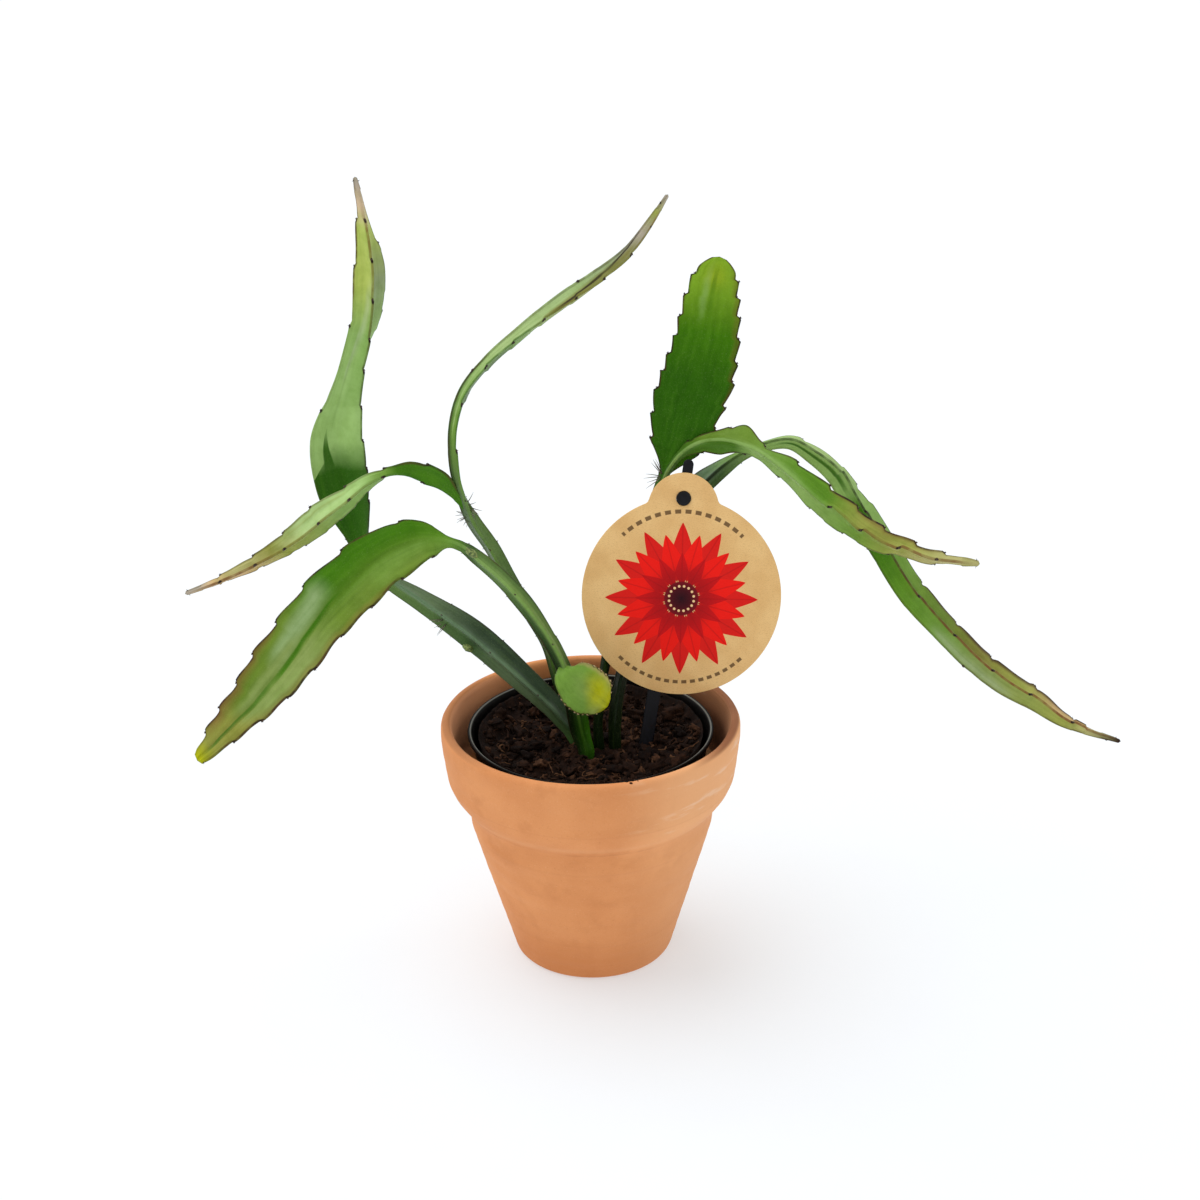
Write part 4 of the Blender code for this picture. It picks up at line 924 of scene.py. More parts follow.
def whole_route(rows, root):
    """A route's rows with the round foot put before them, the foot's slope and its radius."""
    rows = [tuple(map(float, row)) for row in rows]
    if not root:
        return rows, None, 1.0
    x, y, radius = root
    return [(x, y, SOIL_TOP + COLLAR, radius, radius, radius, rows[0][6]), *rows], (0.0, 0.0, 1.0), radius


def leaf_piece(piece, kind, rows, leaf_from, slot, draw, root=None):
    """Skins one route with fine rings, and returns where its areoles sit and where its rows are."""
    edges = LEAF_EDGES[kind]
    rows, start, root_r = whole_route(rows, root)
    knots = hermite(rows, np.array([0.0]), start)[2]
    begin, length = knots[leaf_from + bool(root)], knots[-1]
    ends = [lobe_ends(begin, length, sizes, draw) for depth, rise, sizes in edges[:3]]
    tip_fade = POINTED_FADE if rows[-1][3] < POINTED else BLUNT_FADE
    at = np.linspace(0.0, length, max(8, round(length / RING_STEP)) + 1)
    values, slopes, _ = hermite(rows, at, start)
    rings, spots, before = [], [], None
    for here, row, slope in zip(at, values, slopes):
        lobes = [lobe_at(one, here) for one in ends]
        fade = max(STEM_SHARE * min(1.0, here / 12), (here - begin) / 8)
        fade = min(1.0, fade, (length - here) / tip_fade)
        fades = (fade, fade, fade * (here >= knots[edges[6]]))
        channel = edges[4] * min(1.0, max(0.0, (here - begin) / 15.0))
        rounding = max(0.0, 1.0 - here / ROUND_OUT) if root else 0.0
        ring, across, outward = leaf_ring(row, slope, lobes, fades, edges, channel, rounding, root_r)
        rings.append(cut_corners(ring))
        now = [math.floor(number + 1.0 - NOTCH) for number, size in lobes]
        for side, aim in enumerate((-across, across, outward)):
            is_open = fades[side] > 0.05 and (side < 2 or row[5] >= CREST_FROM)
            if before and now[side] > before[side] and is_open:
                place = Vector(ring[list(SPOT_POINTS[side]), :3].mean(0))
                spots.append((place, aim, Vector(slope[:3]).normalized(), fade))
        before = now
    if root:
        lead = rings[0].copy()
        lead[:, 2] -= COLLAR + ROOT_DEPTH
        rings.insert(0, lead)
        at = np.concatenate([[0.0], at])
    total, around = len(rings), len(rings[0])
    flat = np.concatenate(rings)
    tip = flat[-around:, :3].mean(0) + np.array(Vector(slopes[-1][:3]).normalized()) * 0.8
    flat = np.vstack([flat, [*tip, *flat[-1, 3:]]])
    last, apex = (total - 1) * around, total * around
    faces = [*skin(total, around), tuple(reversed(range(around)))]
    faces += [(last + k, last + (k + 1) % around, apex) for k in range(around)]
    names = ("across", "edge", "crest", "front", "tooth")
    piece.add(flat[:, :3], faces, slot, along=np.append(np.repeat(at / length, around), 1.0),
              **{name: flat[:, 3 + i] for i, name in enumerate(names)})
    return spots, knots


def areole(piece, spot, slot, draw):
    """A small flattened cushion at a notch, with a few short hairs."""
    centre, aim, along, fade = spot
    points, faces = BALL_SMALL
    side = along.cross(aim).normalized()
    basis = np.array(Matrix((along, side, along.cross(side))).transposed())
    sizes = np.array([1.25, 0.8, 0.55]) * (AREOLE_SIZE * (0.55 + 0.45 * fade))
    piece.add((points * sizes) @ basis.T + np.array(centre), faces, slot)
    for _ in range(HAIR_COUNT):
        lean = aim + along * draw.uniform(-0.2, 0.9) + side * draw.uniform(-0.5, 0.5)
        end = centre + lean.normalized() * draw.uniform(0.9, 1.7) * AREOLE_SIZE
        piece.add(*tube([centre, end], [0.09, 0.03], 3), HAIR_SLOT)


def bristles(piece, tuft, draw):
    """Pale bristles that fan out of a stem."""
    x, y, z, way, thick, long = tuft
    for _ in range(BRISTLE_COUNT):
        angle = math.radians(way + draw.uniform(-62, 62))
        aim = Vector((math.cos(angle), draw.uniform(-0.6, 0.3), math.sin(angle))).normalized()
        start = Vector((x, y, z)) + aim * thick * 0.5
        length = thick * 0.5 + draw.uniform(0.5, 1.0) * long
        bow = Vector((draw.uniform(-1, 1), draw.uniform(-1, 1), draw.uniform(-1, 1))) * 0.3
        route = [start, start + aim * length * 0.55 + bow, start + aim * length]
        piece.add(*tube(route, [0.21, 0.16, 0.05], 4), HAIR_SLOT)


def lumpy(points, *waves):
    """How far out each point of a unit ball is moved by noises of (strength, scale, seed)."""
    return np.array([[1 + sum(strength * noise.noise(Vector(p) * scale + Vector(seed))
                              for strength, scale, seed in waves)] for p in points])


def stem_knob(piece, knob):
    """A small dry swelling on a stem, long along its own way."""
    x, y, z, long, thick, lean = knob
    points, faces = BALL_SMALL
    turn = np.array(Matrix.Rotation(math.radians(lean), 3, "Y"))
    sizes = np.array([long, thick, thick])
    placed = (points * lumpy(points, (0.25, 2.0, (x, y, z))) * sizes) @ turn.T + np.array([x, y, z])
    piece.add(placed, faces, KNOT_SLOT)


def streak_mask(shade, along, across, streak, knots):
    """How strongly a soft streak shows: down its middle line, fading to its sides and past its ends."""
    first, last, soft, _, strength = streak
    start, end = row_place(knots, first[0]), row_place(knots, last[0])
    out, inner = STREAK_OUT / knots[-1], STREAK_IN / knots[-1]
    middle = along.span(start, end, first[1], last[1], "LINEAR")
    wide = along.span(start, end, first[2], last[2], "LINEAR").math("MAXIMUM", 0.001)
    mask = (abs(across - middle) / wide).span(1.0 - soft, 1.0 + soft * 0.3, strength, 0.0)
    mask = mask * along.span(start - out, start + inner)
    return mask * along.span(end - inner, end + out, 1.0, 0.0)


def row_place(knots, row):
    """Share of a route's length at which a row lies."""
    low = min(int(row), len(knots) - 2)
    return (knots[low] + (knots[low + 1] - knots[low]) * (row - low)) / knots[-1]


def leaf_material(kind, knots):
    """Skin of a route: face colours and streaks, with painted light and shade, then margins, ridge and teeth.
    """
    shade = Shade(f"skin_{kind}", LEAF_GLOSS[kind])
    along, across = shade.attribute("along"), shade.attribute("across")
    drifted = along + shade.noise(55.0, 3.0).span(0.3, 0.7, -0.005, 0.005)
    runs = {}
    for face, stops in LEAF_SKIN[kind].items():
        places = [row_place(knots, row) for row, _, _ in stops]
        tints = [(*srgb(*PALETTE[name])[:3], strength) for _, name, strength in stops]
        runs[face] = shade.ramp(drifted, list(zip(places, tints)))
    blend = LEAF_BLEND.get(kind, 0.1)
    right_side = across.span(-blend, blend)
    front = shade.attribute("front").span(0.3, 0.7)
    shade.colour = runs["back"][0]
    shade.coat(front, shade.mix(right_side, runs["left"][0], runs["right"][0]))
    wander = across + shade.noise(60.0, 1.0).span(0.3, 0.7, -0.03, 0.03)
    for streak in LEAF_STREAKS[kind]:
        shade.coat(streak_mask(shade, along, wander, streak, knots) * front, PALETTE[streak[3]])
    mottle = shade.noise(170.0, 4.0, 0.6)
    shade.coat(mottle.span(0.36, 0.72, 0.0, 0.35), (196, 210, 160), "MULTIPLY")
    veins = shade.noise(1.0, 1.5, 0.4, shade.vector(along * 9.0, across * 7.0, front))
    shade.coat(veins.span(0.5, 0.8, 0.0, 0.3), (176, 196, 140), "MULTIPLY")
    shade.coat(veins.span(0.5, 0.3, 0.0, 0.6), (36, 52, 12), "ADD")
    shade.coat(shade.noise(2600.0, 1.0).span(0.55, 0.8, 0.0, 0.1), (190, 206, 140))
    patchy = shade.noise(240.0, 2.0).span(0.3, 0.6, 0.5, 1.0)
    margin = runs["right"][1] * right_side + runs["left"][1] * (1.0 - right_side)
    margin = margin * shade.attribute("edge").span(0.18, 0.7, 0.0, 1.15) * patchy
    shade.coat(margin, shade.mix(mottle.span(0.4, 0.6), (46, 30, 24), (78, 50, 32)))
    # the ridge line: a painted highlight where it runs light along a stem
    shade.coat(runs["crest"][1] * shade.attribute("crest").span(0.2, 0.8) * patchy, runs["crest"][0])
    shade.coat(shade.attribute("tooth").span(0.25, 0.8), (34, 20, 16))
    shade.bump(shade.noise(900.0, 3.0, 0.6) + mottle * 2.5, 0.2, 0.0006)
    return shade.finish(mottle.span(0.3, 0.7, 0.34, 0.5))


def plain_material(name, low, high, scale, roughness, gloss=0.5, bump=(0.3, 0.0003)):
    """Two close colours mixed by a noise, with a bump of the same noise."""
    shade = Shade(name, gloss)
    grain = shade.noise(scale, 4.0, 0.6)
    shade.bump(grain, *bump)
    shade.colour = shade.mix(grain.span(0.35, 0.68), low, high)
    return shade.finish(grain.span(0.3, 0.7, roughness - 0.06, roughness + 0.06))


def leafy_stems():
    """Every stem with its leaves, areoles, bristles and swellings, one object each."""
    shared = [
        plain_material("areole_cork", (30, 20, 16), (78, 56, 40), 1400.0, 0.85),
        plain_material("pale_bristle", (84, 78, 66), (150, 142, 122), 1800.0, 0.6),
        plain_material("dry_husk", (150, 120, 70), (206, 184, 136), 900.0, 0.7),
        plain_material("stem_knot", (62, 84, 34), (150, 166, 92), 900.0, 0.6),
    ]
    plan = [
        ("stem_left_low", STEM_LEFT_LOW, "tall_left", LEAF_TALL_LEFT, []),
        ("stem_left_front", STEM_LEFT_FRONT, "broad_left", LEAF_BROAD_LEFT, [("pad", PAD_YOUNG)]),
        ("stem_left_back", STEM_LEFT_BACK, "slender", LEAF_SLENDER, [("arch_left", LEAF_ARCH_LEFT)]),
        ("stem_right_back", STEM_RIGHT_BACK, "upright", LEAF_UPRIGHT, [("arch_right", LEAF_ARCH_RIGHT)]),
        ("stem_right_far", STEM_RIGHT_FAR, "long_right", LEAF_LONG_RIGHT, []),
    ]
    draw = random.Random(LEAF_SEED)
    for name, stem, kind, leaf, branches in plan:
        piece = Piece(f"leafy_{name}")
        materials = list(shared)
        root = ROOTS[name.removeprefix("stem_")]
        routes = [(kind, stem + leaf, len(stem), root), *((one, rows, 1, None) for one, rows in branches)]
        for one, rows, leaf_from, foot in routes:
            spots, knots = leaf_piece(piece, one, rows, leaf_from, len(materials), draw, foot)
            materials.append(leaf_material(one, knots))
            for spot in spots:
                areole(piece, spot, HUSK_SLOT if one == "pad" else CORK_SLOT, draw)
        for tuft in TUFTS.get(name, []):
            bristles(piece, tuft, draw)
        for knob in KNOBS.get(name, []):
            stem_knob(piece, knob)
        made = piece.make(materials)
        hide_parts(name)


def finer(profile, step):
    """Splits a closed profile's long sides, then rounds its corners a little."""
    found = []
    for a, b in zip(profile, profile[1:] + profile[:1]):
        a, b = np.array(a), np.array(b)
        count = max(1, math.ceil(np.linalg.norm(b - a) / step))
        found += [a + (b - a) * i / count for i in range(count)]
    return cut_corners(np.array(found))


def turned(piece, profile, sides, relief=None, **values):
    """Turns a closed profile of (radius, height) points round the pot's axis."""
    points = []
    for angle in np.linspace(0.0, 2 * math.pi, sides, endpoint=False):
        for r, z in profile:
            out = r + relief(r, angle, z) if relief else r
            points.append((*polar(out, angle), z))
    named = {key: np.tile(value, sides) for key, value in values.items()}
    piece.add(points, skin(sides, len(profile), closed=True), **named)


def clay_inner_r(z):
    along = (z - CLAY_FLOOR) / (CLAY_BODY_TOP_Z - CLAY_FLOOR)
    low = CLAY_BASE_R + 1.1 - CLAY_WALL
    return low + (CLAY_BODY_TOP_R - CLAY_WALL - low) * along


def clay_profile():
    lip = CLAY_RIM_R
    collar = CLAY_COLLAR_LOW_R
    body = CLAY_BODY_TOP_R
    base = CLAY_BASE_R
    return [
        (lip - 2.6, CLAY_HEIGHT), (lip - 0.9, CLAY_HEIGHT - 0.6), (lip, CLAY_HEIGHT - 2.2),
        (lip, CLAY_HEIGHT - 8.0), (collar, CLAY_COLLAR_LOW_Z),
        (collar - 1.7, CLAY_COLLAR_LOW_Z - 4.6), (collar - 4.2, CLAY_COLLAR_LOW_Z - 8.2),
        (body + 3.4, CLAY_BODY_TOP_Z + 4.6), (body + 2.0, CLAY_BODY_TOP_Z + 2.0),
        (body + 1.1, CLAY_BODY_TOP_Z - 2.0), (body + 0.5, CLAY_BODY_TOP_Z - 7.0),
        (base + 0.5, 3.0), (base - 0.3, 1.0), (base - 1.8, 0.0),
        (CLAY_HOLE_R, 0.0), (CLAY_HOLE_R, CLAY_FLOOR),
        (clay_inner_r(CLAY_FLOOR) - 2.5, CLAY_FLOOR), (clay_inner_r(CLAY_FLOOR + 3), CLAY_FLOOR + 3),
        (clay_inner_r(CLAY_BODY_TOP_Z), CLAY_BODY_TOP_Z),
        (CLAY_LIP_R - 3.0, CLAY_COLLAR_LOW_Z + 2.0), (CLAY_LIP_R, CLAY_HEIGHT - 3.0),
        (CLAY_LIP_R + 0.9, CLAY_HEIGHT - 0.7),
    ]


def clay_relief(r, angle, z):
    """Slight unevenness of a machine-pressed wall."""
    if z < 1.0:
        return 0.0
    at = Vector((*polar(r, angle), z * 1.6)) / 17.0
    return 0.16 * noise.noise(at) + 0.05 * math.sin(z * 0.9 + noise.noise(at * 0.7) * 2.0)


def terracotta():
    """Fired clay: clouds and grain, then marks by place, mostly painted shade and light, foot to inner wall.
    """
    shade = Shade("terracotta_clay", 0.25)
    shade.colour = shade.mix(shade.noise(26.0, 4.0, 0.55).span(0.32, 0.7), (218, 143, 88), (230, 156, 100))
    cloudy = shade.noise(70.0, 3.0, 0.6)
    shade.coat(cloudy.span(0.5, 0.75, 0.0, 0.5), (208, 134, 80))
    grain = shade.noise(1500.0, 2.0, 0.7)
    shade.coat(grain.span(0.58, 0.78, 0.0, 0.35), (186, 112, 66))
    shade.coat(grain.span(0.42, 0.2, 0.0, 0.3), (240, 190, 150))
    x, y, z = shade.pot_place()
    inner = shade.attribute("tone")
    # painted shade: the body darker towards the foot
    shade.coat(z.span(0.042, 0.0) * 0.45, (196, 119, 66))
    # painted shade: a thin darker line in the crease under the collar
    ledge_shade = abs(z - CLAY_LEDGE_SHADE_Z * MM).span(0.0008, 0.0)
    shade.coat(ledge_shade * cloudy.span(0.35, 0.65, 0.0, 0.3), (186, 116, 72))
    # painted highlight: a faint light band above that crease
    shade.coat(abs(z - CLAY_HIGHLIGHT_Z * MM).span(0.003, 0.0) * 0.12, (242, 190, 146))
    streak = shade.noise(1.0, 4.0, 0.62, shade.vector(x * 34.0, y * 34.0, z * 230.0))
    collar = z.span(CLAY_BODY_TOP_Z * MM, CLAY_COLLAR_LOW_Z * MM)
    side = x.span(0.005, 0.045)
    # painted light: the collar lighter towards its right side
    shade.coat(side * collar.span(0.0, 1.0, 0.3, 0.55), (250, 194, 142))
    # pale scuffs on the right of the collar, which add to the painted light there
    shade.coat(streak.span(0.56, 0.68) * collar * side * 0.5, (244, 204, 170))
    rings = shade.noise(1.0, 2.0, 0.5, shade.vector(0.0, 0.0, z * 420.0))
    shade.coat(rings.span(0.55, 0.75, 0.0, 0.18), (196, 124, 78))
    # painted shade: the lip's roll darker at its left and right, most at the right
    lip = z.span((CLAY_HEIGHT - 1.8) * MM, (CLAY_HEIGHT - 0.4) * MM) * abs(x).span(0.038, 0.058, 0.0, 0.8)
    shade.coat(lip * x.span(-0.03, 0.03, 0.6, 1.25), (150, 98, 66))
    # painted light on the left of the inner wall
    shade.coat(inner * x.span(-0.02, -0.055, 0.0, 0.6), (248, 176, 132))
    # painted shade: the inner wall darker further down and towards its right
    deeper = z.span((CLAY_HEIGHT + 1.0) * MM, (CLAY_HEIGHT - 16.0) * MM, 0.2, 1.0)
    shade.coat(inner * deeper * x.span(-0.055, 0.03, 0.2, 1.0), (96, 62, 42))
    shade.coat(inner * x.span(0.0, 0.05, 0.0, 0.7), (120, 72, 44))
    shade.bump(grain + streak * 0.8, 0.3, 0.0004)
    return shade.finish(streak.span(0.4, 0.7, 0.82, 0.68))


def is_inside(r, z):
    """Whether a point of the clay pot's profile is on its inner wall."""
    if z > CLAY_COLLAR_LOW_Z and r < CLAY_LIP_R + 1.0:
        return True
    return r < CLAY_LIP_R + 1.5 and z > CLAY_FLOOR and r < clay_inner_r(z) + 2.2


def clay_pot():
    profile = finer(clay_profile(), 3.2)
    piece = Piece("clay_pot_fine")
    inner = [float(is_inside(r, z)) for r, z in profile]
    turned(piece, profile, CLAY_SIDES, clay_relief, tone=inner)
    made = piece.make([terracotta()])
    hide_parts("clay_pot")


def nursery_outer_r(z):
    base = clay_inner_r(NURSERY_BASE_Z) - 1.1 * GAP
    top = NURSERY_RIM_R - 1.0
    return base + (top - base) * (z - NURSERY_BASE_Z) / (NURSERY_RIM_Z - NURSERY_BASE_Z)


def nursery_plastic():
    """Black plastic with a painted highlight line along its rim, fainter at the front."""
    shade = Shade("black_polypropylene", 0.06)
    scratch = shade.noise(420.0, 4.0, 0.7)
    shade.colour = shade.mix(scratch.span(0.4, 0.7), (9, 8, 8), (20, 18, 17))
    x, y, z = shade.pot_place()
    # painted highlight: a thin light line along the top of the rim
    line = z.span((NURSERY_RIM_Z - 0.6) * MM, (NURSERY_RIM_Z - 0.2) * MM)
    line = line * distance(x, y).span((NURSERY_RIM_R - 1.0) * MM, (NURSERY_RIM_R - 0.8) * MM, 1.0, 0.0)
    shade.coat(line * y.span(-0.042, -0.026, 0.1, 1.0), (112, 112, 106))
    shade.bump(scratch, 0.2, 0.0002)
    return shade.finish(scratch.span(0.3, 0.7, 0.3, 0.45))


def nursery_pot():
    rim = NURSERY_RIM_R
    top = NURSERY_RIM_Z
    bead = top - NURSERY_BEAD
    low = NURSERY_BASE_Z
    wall = NURSERY_WALL
    profile = [
        (rim - 0.4, top), (rim, top - 0.5), (rim, bead + 0.4), (nursery_outer_r(bead), bead),
        (nursery_outer_r(low + 1.0), low + 1.0), (nursery_outer_r(low) - 1.0, low), (NURSERY_HUB_R, low),
        (NURSERY_HUB_R, low + wall), (nursery_outer_r(low + wall) - wall - 0.5, low + wall),
        (nursery_outer_r(bead) - wall, bead), (rim - 1.6, top - 0.3),
    ]
    piece = Piece("nursery_pot_fine")
    turned(piece, finer(profile, 6.0), NURSERY_SIDES)
    piece.add(*tube([(0, 0, low), (0, 0, low + wall)], [NURSERY_HUB_R] * 2, NURSERY_SIDES))
    made = piece.make([nursery_plastic()], SHARP_FROM)
    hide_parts("nursery_pot")


def soil_height(x, y, share):
    """Height of the soil's surface, crumbly on three scales."""
    level = SOIL_TOP + SOIL_MOUND * (1 - share**2) + SOIL_HEAP * share**8
    coarse = noise.noise(Vector((x, y, 3.0)) / 8.5)
    middle = noise.noise(Vector((x, y, 9.0)) / 3.4)
    fine = noise.noise(Vector((x, y, 17.0)) / 1.3)
    fade = 1.0 - 0.6 * share**14
    return level + fade * (2.1 * coarse + 1.3 * abs(middle) + 1.0 * middle + 0.6 * fine)


def soil_room(z):
    """Radius of the room that the nursery pot's wall leaves at a height."""
    return nursery_outer_r(z) - NURSERY_WALL - 1.1 * GAP


def soil_bed(piece):
    """Crumbly disc of rings, closed below by one ring and one point."""
    low = NURSERY_BASE_Z + NURSERY_WALL + GAP
    foot = soil_room(low) - 0.6
    turns = [2 * math.pi * k / SOIL_SIDES for k in range(SOIL_SIDES)]
    points = [(0.0, 0.0, soil_height(0.0, 0.0, 0.0))]
    tones = [0.2]
    for ring in range(1, SOIL_RINGS + 1):
        share = ring / SOIL_RINGS
        for angle in turns:
            x, y = polar(SOIL_RIM_R * share, angle)
            z = soil_height(x, y, share)
            points.append((x, y, z))
            tones.append(0.06 + 0.08 * (z - SOIL_TOP - SOIL_HEAP * share**8))
    points += [(*polar(foot, angle), low) for angle in turns]
    points.append((0.0, 0.0, low))
    tones += [0.1] * (SOIL_SIDES + 1)
    faces = []
    last = 1 + SOIL_RINGS * SOIL_SIDES
    for k in range(SOIL_SIDES):
        j = (k + 1) % SOIL_SIDES
        faces += [(0, 1 + k, 1 + j), (last + j, last + k, last + SOIL_SIDES)]
        faces += [(start + k, start + SOIL_SIDES + k, start + SOIL_SIDES + j, start + j)
                  for start in range(1, last, SOIL_SIDES)]
    piece.add(points, faces, tone=np.clip(tones, 0.0, 0.5))


def near_root(x, y, room):
    return any(math.hypot(x - rx, y - ry) < radius + room for rx, ry, radius in ROOTS.values())


def soil_crumbs(piece, draw):
    """Peat crumbs and bark chips: noisy balls pressed into the bed."""
    for number in range(CRUMB_COUNT):
        big = number % BIG_EVERY == 0
        size = draw.uniform(1.6, 3.3) if big else draw.uniform(0.5, 1.6)
        angle = draw.uniform(0, 2 * math.pi)
        r = (SOIL_RIM_R - size - 0.4) * draw.random() ** (0.4 if big else 0.5)
        x, y = polar(r, angle)
        if near_root(x, y, size * 0.6):
            continue
        points, faces = BALL_LARGE if big else BALL_SMALL
        stretch = np.array([draw.uniform(0.8, 1.5), draw.uniform(0.6, 1.1), draw.uniform(0.3, 0.85)]) * size
        seed = (number * 3.1, number * 1.7, 0.0)
        bumps = lumpy(points, (0.95, 1.4, seed), (0.6, 3.3, seed))
        spin = draw.uniform(0, 6.28)
        turn = np.array(Matrix.Rotation(spin, 3, Vector((draw.uniform(-1, 1), draw.uniform(-1, 1), 1))))
        sunk = soil_height(x, y, r / SOIL_RIM_R) + size * 0.25
        tone = draw.uniform(0.1, 0.78) ** 2 if big else draw.uniform(0.02, 0.62) * draw.uniform(0.4, 1.0)
        piece.add((points * bumps * stretch) @ turn.T + np.array([x, y, sunk]), faces, tone=tone)


def soil_fibres(piece, draw):
    """Curly fibres that lie over the crumbs."""
    steps = 12
    for number in range(FIBRE_COUNT):
        angle = draw.uniform(0, 2 * math.pi)
        r = (SOIL_RIM_R - 6.0) * math.sqrt(draw.random())
        x, y = polar(r, angle)
        if near_root(x, y, 2.5):
            continue
        heading = draw.uniform(0, 2 * math.pi)
        curl = draw.uniform(-0.5, 0.5)
        length = draw.uniform(3.0, 9.0)
        route = []
        for i in range(steps + 1):
            share = min(math.hypot(x, y) / SOIL_RIM_R, 0.985)
            lift = 0.3 + 0.7 * noise.noise(Vector((number, i * 0.3, 0)))
            rise = 0.7 + 1.3 * math.sin(math.pi * i / steps) * lift
            route.append((x, y, soil_height(x, y, share) + rise))
            heading += curl + 0.5 * noise.noise(Vector((number * 5.0, i * 0.4, 4.0)))
            x += math.cos(heading) * length / steps
            y += math.sin(heading) * length / steps
            if math.hypot(x, y) > SOIL_RIM_R - 1.0:
                x, y = x * 0.97, y * 0.97
        thick = draw.uniform(0.2, 0.62)
        swell = [0.35 + 0.65 * math.sin(math.pi * (i + 0.6) / (steps + 1.2)) for i in range(steps + 1)]
        piece.add(*tube(route, [thick * share for share in swell], 5), tone=draw.uniform(0.2, 0.72))


def lip_crumbs(piece, draw):
    """A few crumbs left on the clay lip at the front."""
    points, faces = BALL_SMALL
    middle = math.radians(LIP_CRUMB_ANGLE)
    for number in range(LIP_CRUMB_COUNT):
        angle = middle + draw.uniform(-0.045, 0.045)
        r = CLAY_LIP_R + draw.uniform(0.8, 3.4)
        size = draw.uniform(0.35, 0.85)
        sizes = np.array([size * 1.3, size * 0.8, size * 0.6])
        place = np.array([*polar(r, angle), CLAY_HEIGHT - 0.5 + size * 0.3])
        piece.add(points * lumpy(points, (0.5, 1.6, (number, 0, 0))) * sizes + place, faces, tone=0.15)


def soil_material():
    shade = Shade("peat_mix", 0.1)
    grain = shade.noise(420.0, 5.0, 0.7)
    tone = shade.attribute("tone") + grain.span(0.25, 0.75, -0.16, 0.16)
    shade.colour = shade.ramp(tone, [
        (0.0, srgb(19, 10, 7)), (0.25, srgb(39, 23, 15)), (0.5, srgb(64, 40, 27)),
        (0.8, srgb(108, 76, 52)), (1.0, srgb(160, 126, 86)),
    ])[0]
    shade.bump(shade.noise(1100.0, 5.0, 0.7), 0.7, 0.0006)
    return shade.finish(grain.span(0.3, 0.7, 0.8, 0.95))


def soil():
    draw = random.Random(SOIL_SEED)
    piece = Piece("soil_fine")
    soil_bed(piece)
    soil_crumbs(piece, draw)
    soil_fibres(piece, draw)
    made = piece.make([soil_material()])
    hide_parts("potting_soil")
    lip = Piece("lip_crumbs")
    lip_crumbs(lip, draw)
    lip.make([soil_material()])


def arc(centre, radius, start, end, count):
    places = (polar(radius, angle) for angle in np.linspace(start, end, count))
    return [(centre[0] + x, centre[1] + y) for x, y in places]


def tag_outline():
    """Round card with an ear on top, joined by small hollow corners."""
    far = TAG_R + TAG_FILLET
    near = TAG_EAR_R + TAG_FILLET
    up = (far**2 - near**2 + TAG_EAR_UP**2) / (2 * TAG_EAR_UP)
    side = math.sqrt(far**2 - up**2)
    low = math.atan2(up, side)
    high = math.atan2(up - TAG_EAR_UP, side)
    right = arc((side, up), TAG_FILLET, math.pi + low, math.pi + high, 8)
    ear = arc((0.0, TAG_EAR_UP), TAG_EAR_R, high, math.pi - high, 44)
    left = [(-x, y) for x, y in reversed(right)]
    body = arc((0.0, 0.0), TAG_R, math.pi - low, 2 * math.pi + low, 150)
    return body[:-1] + right[:-1] + ear[:-1] + left[:-1]


def flat_mesh(name, outlines, thick, rounding):
    """Points and faces of a flat closed outline with its holes, given a thickness and rounded rims."""
    curve = bpy.data.curves.new(name, "CURVE")
    curve.dimensions = "2D"
    curve.fill_mode = "BOTH"
    curve.extrude = thick / 2 - rounding
    curve.bevel_depth = rounding
    curve.bevel_resolution = 2
    curve.offset = -rounding
    for outline in outlines:
        spline = curve.splines.new("POLY")
        spline.points.add(len(outline) - 1)
        spline.use_cyclic_u = True
        for point, (x, y) in zip(spline.points, outline):
            point.co = (x, y, 0.0, 1.0)
    drawn = linked(name, curve)
    bpy.context.view_layer.update()
    seen = drawn.evaluated_get(bpy.context.evaluated_depsgraph_get())
    mesh = bpy.data.meshes.new_from_object(seen)
    bpy.data.objects.remove(drawn, do_unlink=True)
    made = bmesh.new()
    made.from_mesh(mesh)
    bmesh.ops.remove_doubles(made, verts=made.verts, dist=0.001)
    return mesh_data(made)


def moved(points, matrix):
    return points @ np.array(matrix.to_3x3()).T + np.array(matrix.translation)


def tag_plane():
    """From the leaning plane of stick and card, with its origin at the stick's foot."""
    foot = Matrix.Translation(Vector((*STICK_FOOT, SOIL_TOP)))
    return foot @ Matrix.Rotation(math.radians(90.0 - TAG_LEAN), 4, "X")


def stick():
    wide = STICK_WIDE / 2
    narrow = STICK_NARROW / 2
    top = arc((0.0, STICK_HEIGHT - narrow), narrow, 0.0, math.pi, 21)
    outline = [(0.0, -STICK_DEPTH), (wide, STICK_POINT - STICK_DEPTH), (wide, 0.0), *top,
               (-wide, 0.0), (-wide, STICK_POINT - STICK_DEPTH)]
    tilt = tag_plane() @ Matrix.Rotation(-math.radians(STICK_TILT), 4, "Z")
    piece = Piece("tag_stick_fine")
    points, faces = flat_mesh("stick", [outline], STICK_THICK, 0.45)
    piece.add(moved(points, tilt), faces)
    end = STICK_THICK / 2 + PEG_OUT
    dome = ((end, 0.0), (0.7, 0.0), (0.3, 0.15), (0.08, 0.55), (0.0, 1.3))
    route = [(0, PEG_UP, end - back) for back, less in dome]
    points, faces = tube(route, [TAG_HOLE_R - 0.1 - less for back, less in dome], 40)
    piece.add(moved(points, tilt), faces)
    black = plain_material("stick_black", (7, 8, 13), (16, 17, 25), 500.0, 0.4, 0.2, (0.1, 0.0002))
    made = piece.make([black], SHARP_FROM)
    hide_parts("tag_stick")


